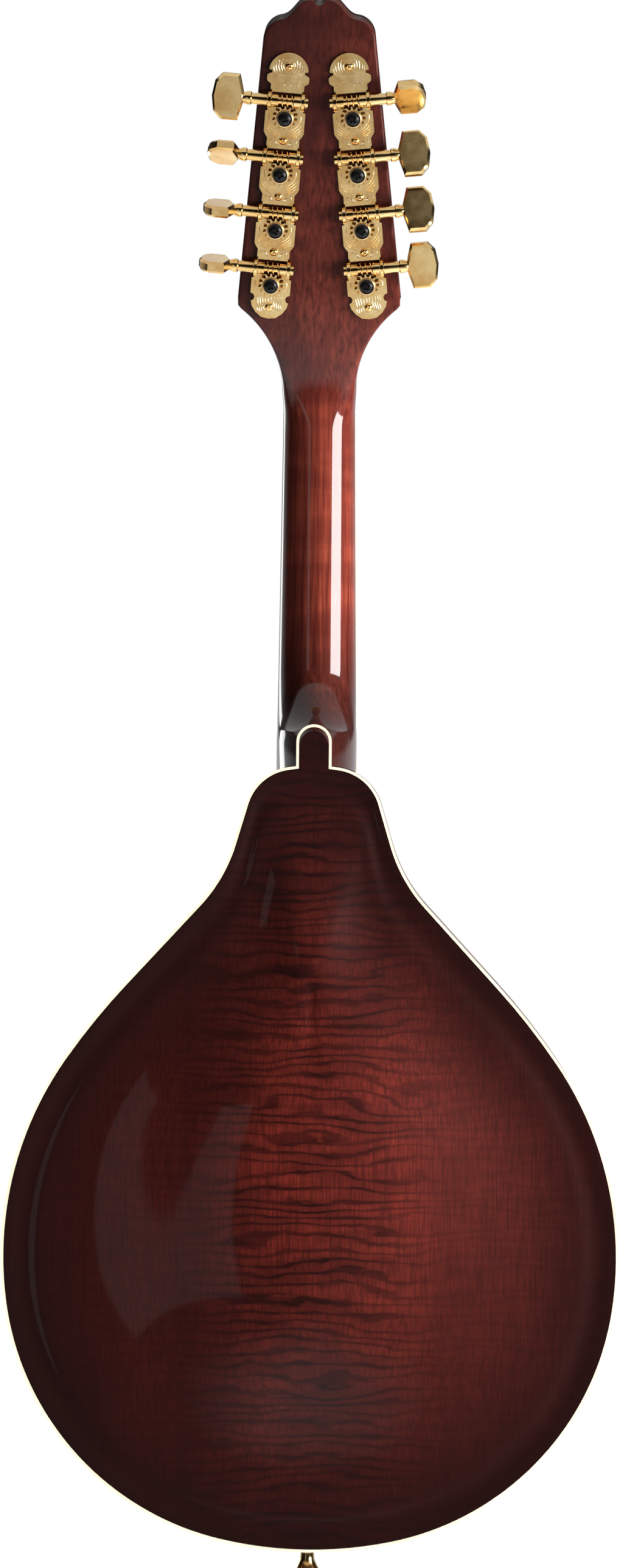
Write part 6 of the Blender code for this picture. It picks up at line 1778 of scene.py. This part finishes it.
def make_plate_screws():
    for side, sign in SIDES:
        spots = [index * TUNER_PITCH - SCREW_BELOW_GEAR for index in range(TUNER_COUNT)]
        spots.append((TUNER_COUNT - 1) * TUNER_PITCH + CAP_SCREW_ABOVE_GEAR)
        for number, spot in enumerate(spots):
            make_screw(f"plate_screw_{side}_{number + 1}", gold_metal(), strip_frame(sign), (0.0, spot),
                       PLATE_FACE - SCREW_SUNK, PLATE_SCREW, "instrument", 0.3 + number)


def make_front_screws():
    """Screws of the truss rod cover and of the tailpiece's apron."""
    low = HEAD_FACE_START + COVER_PLATE_FROM_NUT_EDGE
    flip = HEAD_FRAME @ Matrix.Rotation(math.pi, 4, "Z")
    face = COVER_PLATE_THICKNESS + SEAT_GAP - VENEER_FACE
    for number, spot in enumerate(((0.0055, low + 0.0035), (-0.0055, low + 0.0035), (0.0, low + 0.0285))):
        make_screw(f"cover_screw_{number + 1}", gold_metal(), flip, spot, face - SCREW_SUNK / 2.0,
                   COVER_SCREW, "instrument", 0.4 + number)
    under = Matrix.Translation((0.0, 0.0, TAIL_Z - SEAT_GAP - TAILPIECE_SHEET))
    down = under @ Matrix.Rotation(-math.pi / 2.0, 4, "X")
    for number, (x, depth) in enumerate(((-0.011, 0.006), (0.011, 0.006), (0.0, 0.010))):
        make_screw(f"apron_screw_{number + 1}", gold_metal(), down, (x, FRONT_EDGE_Y + depth),
                   -SCREW_SUNK / 2.0, APRON_SCREW, "instrument", 0.7 + number)


def engrave(bm, points):
    """A fine raised line with tapered ends, along points of X and Z on a plate's face."""
    spots = [Vector((x, PLATE_FACE, z)) for x, z in points]
    last = len(spots) - 1
    loops = []
    for i, spot in enumerate(spots):
        ahead = spots[min(i + 1, last)] - spots[max(i - 1, 0)]
        taper = min(1.0, 0.30 + 2.8 * min(i, last - i) / len(spots))
        reach = Vector((-ahead.z, 0.0, ahead.x)).normalized() * ENGRAVING_HALF_WIDTH * taper
        sunk = Vector((0.0, -ENGRAVING_SUNK, 0.0))
        raised = Vector((0.0, ENGRAVING_HEIGHT * taper, 0.0))
        loops.append([spot + reach + sunk, spot + raised, spot - reach + sunk])
    skin(bm, loops)


def bezier(points, steps=16):
    """Points on a chain of cubic curves: start, two handles, end, two handles, end and so on."""
    result = [points[0]]
    for k in range(0, len(points) - 3, 3):
        a, b, c, d = (Vector(p) for p in points[k:k + 4])
        for t in (i / steps for i in range(1, steps + 1)):
            spot = a * (1 - t) ** 3 + b * (3 * t * (1 - t) ** 2) + c * (3 * t * t * (1 - t)) + d * t ** 3
            result.append(tuple(spot))
    return result


# Scroll curves in millimetres from the nearest post: out from the centre line, and up
PANEL_SCROLLS = (
    [(5.7, 1.6), (7.4, 1.0), (6.6, -2.2), (4.6, -4.0), (3.4, -5.1), (1.6, -6.0), (0.5, -7.3)],
    [(6.9, -2.2), (6.6, -4.6), (4.0, -5.6), (0.9, -7.9)],
    [(7.2, -3.6), (6.8, -6.0), (4.2, -6.2), (1.6, -8.2)],
    [(7.0, -5.6), (6.2, -7.0), (4.4, -7.0), (2.0, -8.7)],
    [(6.3, -7.4), (5.0, -7.6), (4.0, -7.9), (2.2, -9.3)],
    [(5.6, -10.4), (5.4, -8.9), (3.9, -8.6), (2.3, -9.9)],
    [(5.0, -9.8), (4.4, -9.4), (3.6, -9.6), (3.0, -10.3), (2.5, -11.0), (3.3, -11.6), (3.7, -10.9)],
    [(2.2, -10.6), (2.0, -11.4), (2.8, -11.7), (2.9, -11.2)],
)
CAP_SCROLLS = (
    [(0.1, 18.0), (2.4, 19.4), (2.6, 20.8), (2.1, 22.1), (1.6, 23.2), (0.6, 23.2), (0.0, 22.9)],
    [(0.1, 16.9), (3.0, 18.4), (3.6, 20.2), (3.2, 22.6), (3.0, 23.5), (2.6, 23.7), (2.2, 23.4)],
    [(0.9, 16.9), (3.8, 17.7), (4.7, 19.8), (4.2, 22.3), (4.1, 23.0), (4.6, 23.1), (4.8, 22.5)],
    [(1.5, 16.9), (4.8, 17.3), (5.6, 19.4), (5.4, 21.8)],
    [(2.2, 16.7), (5.4, 16.9), (6.4, 18.6), (6.3, 20.9)],
    [(0.1, 15.4), (1.6, 17.0), (3.8, 17.2), (5.0, 15.6)],
    [(0.1, 14.4), (1.8, 16.2), (4.2, 16.6), (5.4, 14.2)],
    [(0.3, 13.9), (2.0, 15.6), (4.4, 15.6), (5.2, 12.9)],
    [(0.5, 13.3), (2.0, 14.8), (3.8, 14.9), (4.7, 12.3)],
    [(0.3, 13.5), (0.7, 12.5), (1.6, 12.8), (1.2, 13.5)],
)
TONGUE_WAVES = (
    [(0.5, -5.4), (0.9, -6.4), (0.2, -7.0), (0.6, -7.6)],
    [(1.7, -5.0), (2.3, -6.4), (1.3, -7.2), (2.1, -8.6), (2.6, -9.6), (2.4, -10.8), (0.9, -11.6),
     (0.5, -11.9), (0.2, -11.9), (0.0, -12.3)],
    [(2.8, -4.6), (3.6, -6.2), (2.3, -7.4), (3.0, -8.9), (3.6, -10.2), (3.2, -11.4), (1.6, -12.2)],
    [(3.8, -4.2), (4.8, -6.0), (3.3, -7.6), (3.9, -9.2), (4.4, -10.6), (3.9, -12.0), (2.6, -12.7)],
    [(4.7, -4.2), (5.8, -6.2), (4.2, -7.8), (4.9, -9.6), (5.1, -10.4), (4.9, -11.2), (4.4, -11.8)],
    [(5.7, 1.6), (7.4, 1.0), (6.6, -2.2), (5.0, -3.6)],
)


def make_engraving():
    """Every curve and its mirror image, at each post and on the cap."""
    drawings = [(TONGUE_WAVES, 0)] + [(PANEL_SCROLLS, index) for index in range(1, TUNER_COUNT)]
    drawings.append((CAP_SCROLLS, TUNER_COUNT - 1))
    for side, sign in SIDES:
        bm = bmesh.new()
        for curves, index in drawings:
            for curve in curves:
                for half in (-1.0, 1.0):
                    engrave(bm, [(half * x / 1000.0, index * TUNER_PITCH + z / 1000.0)
                                 for x, z in bezier(curve)])
        extra(f"plate_engraving_{side}", bm, engraved_gold(), strip_frame(sign), "instrument",
              FINE_SMOOTH_ANGLE)


# A bushing's radius past its bore and how far it stands out of the veneer
BUSHING_CLEARANCE = 0.0002
BUSHING_PROFILE = ((0.0, -0.0002), (0.0, 0.0011), (0.0009, 0.0011), (0.0012, 0.0008), (0.0013, 0.0004),
                   (0.0021, 0.0003), (0.0021, 0.00002), (0.0, -0.0002))


def make_bushings():
    """A flanged bushing round each post on the front of the head."""
    inner = POST_RADIUS + BUSHING_CLEARANCE
    profile = [(inner + past, VENEER_FACE - standout) for past, standout in BUSHING_PROFILE]
    for side, sign, index in tuner_places():
        bm = bmesh.new()
        turned_ring(bm, profile)
        extra(f"post_bushing_{side}_{index + 1}", bm, gold_metal(), post_frame(sign, index), "instrument")


def tube(bm, points, radius, sides):
    """A round tube along points."""
    loops = []
    for i, spot in enumerate(points):
        along = (points[min(i + 1, len(points) - 1)] - points[max(i - 1, 0)]).normalized()
        first = along.orthogonal().normalized() if i == 0 else (first - along * first.dot(along)).normalized()
        second = along.cross(first)
        loops.append([spot + (first * math.cos(a) + second * math.sin(a)) * radius
                      for a in (2.0 * math.pi * k / sides for k in range(sides))])
    skin(bm, loops)


def make_windings():
    """Turns of each string round its post, riding with the post."""
    for number in range(STRING_COUNT):
        side, sign, index = string_post(number)
        radius = COURSE_RADII[number // 2]
        reach = POST_RADIUS - WINDING_BITE + radius
        points = []
        for i in range(int(WINDING_TURNS * WINDING_STEPS) + 1):
            done = i / WINDING_STEPS
            angle = -sign * 2.0 * math.pi * done + (math.pi if sign > 0 else 0.0)
            level = VENEER_FACE - STRING_ON_POST - WINDING_PITCH * radius * (done - WINDING_TURNS / 2.0)
            points.append(Vector((reach * math.cos(angle), level, reach * math.sin(angle))))
        bm = bmesh.new()
        tube(bm, points, radius, 10)
        extra(f"string_turns_{number + 1}", bm, string_look(number), post_frame(sign, index),
              BODY_OF[f"tuner_gear_{side}_{index + 1}"], FINE_SMOOTH_ANGLE)


def make_board_trim():
    """Cream strips down both sides of the fingerboard, and its position dots."""
    bm = bmesh.new()
    for side in (-1.0, 1.0):
        loops = []
        for i in range(TRIM_STATIONS + 1):
            height = -BOARD_END_FROM_NUT * i / TRIM_STATIONS
            inner = board_half_width(height) - TRIM_THICKNESS
            outer = board_half_width(height) + TRIM_STANDOUT
            corners = ((inner, BOARD_TOP - TRIM_LIFT), (outer, BOARD_TOP + 0.0003),
                       (outer, BOARD_UNDER - SEAT_GAP), (inner, BOARD_UNDER - SEAT_GAP))
            loops.append([Vector((side * x, depth, height)) for x, depth in corners])
        skin(bm, loops)
    extra("board_binding", bm, cream_binding(), NECK_FRAME, "instrument")
    bm = bmesh.new()
    profile = [(DOT_RADIUS, BOARD_TOP + 0.0002), (DOT_RADIUS, BOARD_TOP - 0.00004),
               (DOT_RADIUS - 0.0002, BOARD_TOP - 0.00007)]
    for number in DOTTED_FRETS:
        height = -(fret_height(number) + fret_height(number - 1)) / 2.0
        for x in ((-DOT_PAIR_HALF_SPACING, DOT_PAIR_HALF_SPACING) if number == 12 else (0.0,)):
            turned(bm, profile, HOLE_SIDES, "Y", (x, height))
    extra("position_dots", bm, pearl(), NECK_FRAME, "instrument")


def make_rosette(tree):
    """Rings of cream and black round the soundhole, following the carved top."""
    for tone, look, slot in (("cream", cream_binding(), "cream_binding"),
                             ("black", black_veneer(), "black_veneer")):
        bm = bmesh.new()
        for inner, outer, kind in ROSETTE_RINGS:
            if kind != tone:
                continue
            loops = []
            for angle in (2.0 * math.pi * k / ROSETTE_STEPS for k in range(ROSETTE_STEPS + 1)):
                loop = []
                for grow, shift in ((inner, ROSETTE_SUNK), (inner, -ROSETTE_LIFT), (outer, -ROSETTE_LIFT),
                                    (outer, ROSETTE_SUNK)):
                    x, z = soundhole_point(angle, grow)
                    loop.append(Vector((x, outer_top_y(tree, x, z) + shift, z)))
                loops.append(loop)
            closed_skin(bm, loops)
        extra(f"rosette_{tone}", bm, look, None, "instrument", FINE_SMOOTH_ANGLE)


def mark_inset(obj, outline):
    """Store each vertex's distance in from the body's outline, for the burst of the finish."""
    corners = [Vector(point) for point in outline]
    pairs = list(zip(corners, corners[1:] + corners[:1]))
    values = []
    for vertex in obj.data.vertices:
        spot = Vector((vertex.co.x, vertex.co.z))
        nearest = 1.0
        for a, b in pairs:
            run = b - a
            share = min(max((spot - a).dot(run) / run.length_squared, 0.0), 1.0)
            nearest = min(nearest, (a + run * share - spot).length)
        values.append(nearest)
    obj.data.attributes.new("inset", "FLOAT", "POINT").data.foreach_set("value", values)


# Camera, light and floor
IMAGE_HEIGHT = 2576
FOCAL_PIXELS = 5955.0
SENSOR_HEIGHT = 36.0
CLIP_START = 0.05
CAMERA_PLACE = Vector((-0.0375, 1.521, -0.1638))
CAMERA_AIM = Vector((0.0015, 0.021, -0.1638))
CAMERA_ROLL = math.radians(0.57)
FLOOR_CENTRE = (0.0, -0.4, -1.6)
FLOOR_HALF_SIZE = 1.4
# The room that the pieces mirror: start, end and strength at both, along Y first and then along Z
WALL_FADE = (-0.75, -0.20, 0.70, 0.01)
HEIGHT_FADES = (("MULTIPLY", (0.05, 0.15, 1.0, 0.08)), ("ADD", (0.43, 0.50, 0.0, 0.85)),
                ("ADD", (-0.38, -0.58, 0.0, 1.15)))
# Lamps: name, place, target, size, power, and whether the pieces mirror it
LAMPS = (
    ("window_right", (-1.206, 0.942, -0.2075), (0.0, 0.0, -0.20), (0.877, 0.515), 27.0, True),
    ("side_glow", (-1.95, 0.55, 0.05), (0.0, 0.0, -0.25), (1.2, 1.8), 125.0, False),
    ("window_left", (0.83, 1.85, -0.50), (0.075, 0.0, -0.34), (0.24, 0.90), 0.45, True),
    ("edge_left", (1.00, -1.50, -0.20), (0.0, 0.0, -0.20), (0.5, 0.9), 5.0, True),
    ("front_soft", (0.6, -1.7, 1.1), (0.0, 0.0, -0.2), (1.2, 1.0), 16.0, False),
)


def make_camera():
    data = bpy.data.cameras.new("camera")
    data.sensor_fit = "VERTICAL"
    data.sensor_height = SENSOR_HEIGHT
    data.lens = FOCAL_PIXELS / IMAGE_HEIGHT * SENSOR_HEIGHT
    data.clip_start = CLIP_START
    camera = bpy.data.objects.new("camera", data)
    bpy.context.scene.collection.objects.link(camera)
    upright = Vector((0.0, 0.0, 1.0))
    level = (CAMERA_AIM - CAMERA_PLACE).normalized().cross(upright)
    right = level * math.cos(CAMERA_ROLL) + upright * math.sin(CAMERA_ROLL)
    up = upright * math.cos(CAMERA_ROLL) - level * math.sin(CAMERA_ROLL)
    turn = Matrix((right, up, right.cross(up))).transposed()
    camera.matrix_world = Matrix.Translation(CAMERA_PLACE) @ turn.to_4x4()
    bpy.context.scene.camera = camera


def make_lamp(name, place, target, size, power, mirrored):
    data = bpy.data.lights.new(name, "AREA")
    data.shape = "RECTANGLE"
    data.size, data.size_y = size
    data.energy = power
    lamp = bpy.data.objects.new(name, data)
    bpy.context.scene.collection.objects.link(lamp)
    lamp.location = place
    lamp.rotation_euler = (Vector(target) - Vector(place)).to_track_quat("-Z", "Y").to_euler()
    lamp.visible_camera = False
    lamp.visible_glossy = mirrored


def make_floor():
    bm = bmesh.new()
    bmesh.ops.create_grid(bm, x_segments=2, y_segments=2, size=FLOOR_HALF_SIZE)
    link_mesh("floor", bm, pale_floor(), Matrix.Translation(FLOOR_CENTRE))


def make_room():
    """White for the camera, and a room of pale wall, ceiling and ground for all that is mirrored."""
    world = bpy.data.worlds.new("studio")
    bpy.context.scene.world = world
    world.use_nodes = True
    tree = world.node_tree
    white = tree.nodes["Background"]
    white.inputs["Color"].default_value = (1.0, 1.0, 1.0, 1.0)
    white.inputs["Strength"].default_value = 1.0
    split = tree.nodes.new("ShaderNodeSeparateXYZ")
    tree.links.new(tree.nodes.new("ShaderNodeTexCoord").outputs["Generated"], split.inputs[0])

    def fade(value, *settings):
        node = tree.nodes.new("ShaderNodeMapRange")
        tree.links.new(value, node.inputs["Value"])
        for key, setting in zip(("From Min", "From Max", "To Min", "To Max"), settings):
            node.inputs[key].default_value = setting
        return node.outputs[0]

    strength = fade(split.outputs[1], *WALL_FADE)
    for operation, reach in HEIGHT_FADES:
        total = tree.nodes.new("ShaderNodeMath")
        total.operation = operation
        tree.links.new(strength, total.inputs[0])
        tree.links.new(fade(split.outputs[2], *reach), total.inputs[1])
        strength = total.outputs[0]
    room = tree.nodes.new("ShaderNodeBackground")
    tree.links.new(strength, room.inputs["Strength"])
    path = tree.nodes.new("ShaderNodeLightPath")
    mix = tree.nodes.new("ShaderNodeMixShader")
    tree.links.new(path.outputs["Is Camera Ray"], mix.inputs[0])
    tree.links.new(room.outputs[0], mix.inputs[1])
    tree.links.new(white.outputs[0], mix.inputs[2])
    tree.links.new(mix.outputs[0], tree.nodes["World Output"].inputs["Surface"])
    bpy.context.scene.view_settings.view_transform = "Standard"


def build_pieces():
    make_back_plate()
    tree = make_top_plate()
    make_bindings()
    make_rim()
    make_blocks()
    make_linings()
    make_brace(tree)
    make_neck()
    make_veneer()
    carried("fingerboard", dark_wood(), NECK_FRAME)
    make_board_riser(tree)
    carried("nut", bone(), NECK_FRAME)
    make_truss_rod()
    nut_frame = NECK_FRAME @ Matrix.Translation((0.0, ROD_DEPTH, ROD_END + SEAT_GAP))
    carried("truss_rod_nut", nickel_steel(), nut_frame)
    carried("truss_rod_cover", black_veneer(), HEAD_FRAME)
    make_bridge_foot(tree)
    make_bridge_posts(tree)
    make_saddle(tree)
    carried("tailpiece_frame", gold_metal())
    carried("tailpiece_cover", gold_metal(), TAIL_FRAME)
    make_end_pin()
    make_strings()
    make_strips()
    make_gears()
    make_worms()
    make_gear_screws()
    make_plate_screws()
    make_engraving()
    make_bushings()
    make_windings()
    make_board_trim()
    make_rosette(tree)
    make_front_screws()


build_pieces()
mark_inset(SHOWN["back_plate"], back_outline())
mark_inset(SHOWN["top_plate"], body_outline())
for name, obj in SHOWN.items():
    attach(obj, BODY_OF[name])
    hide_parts(name)
make_camera()
make_floor()
make_room()
for lamp in LAMPS:
    make_lamp(*lamp)
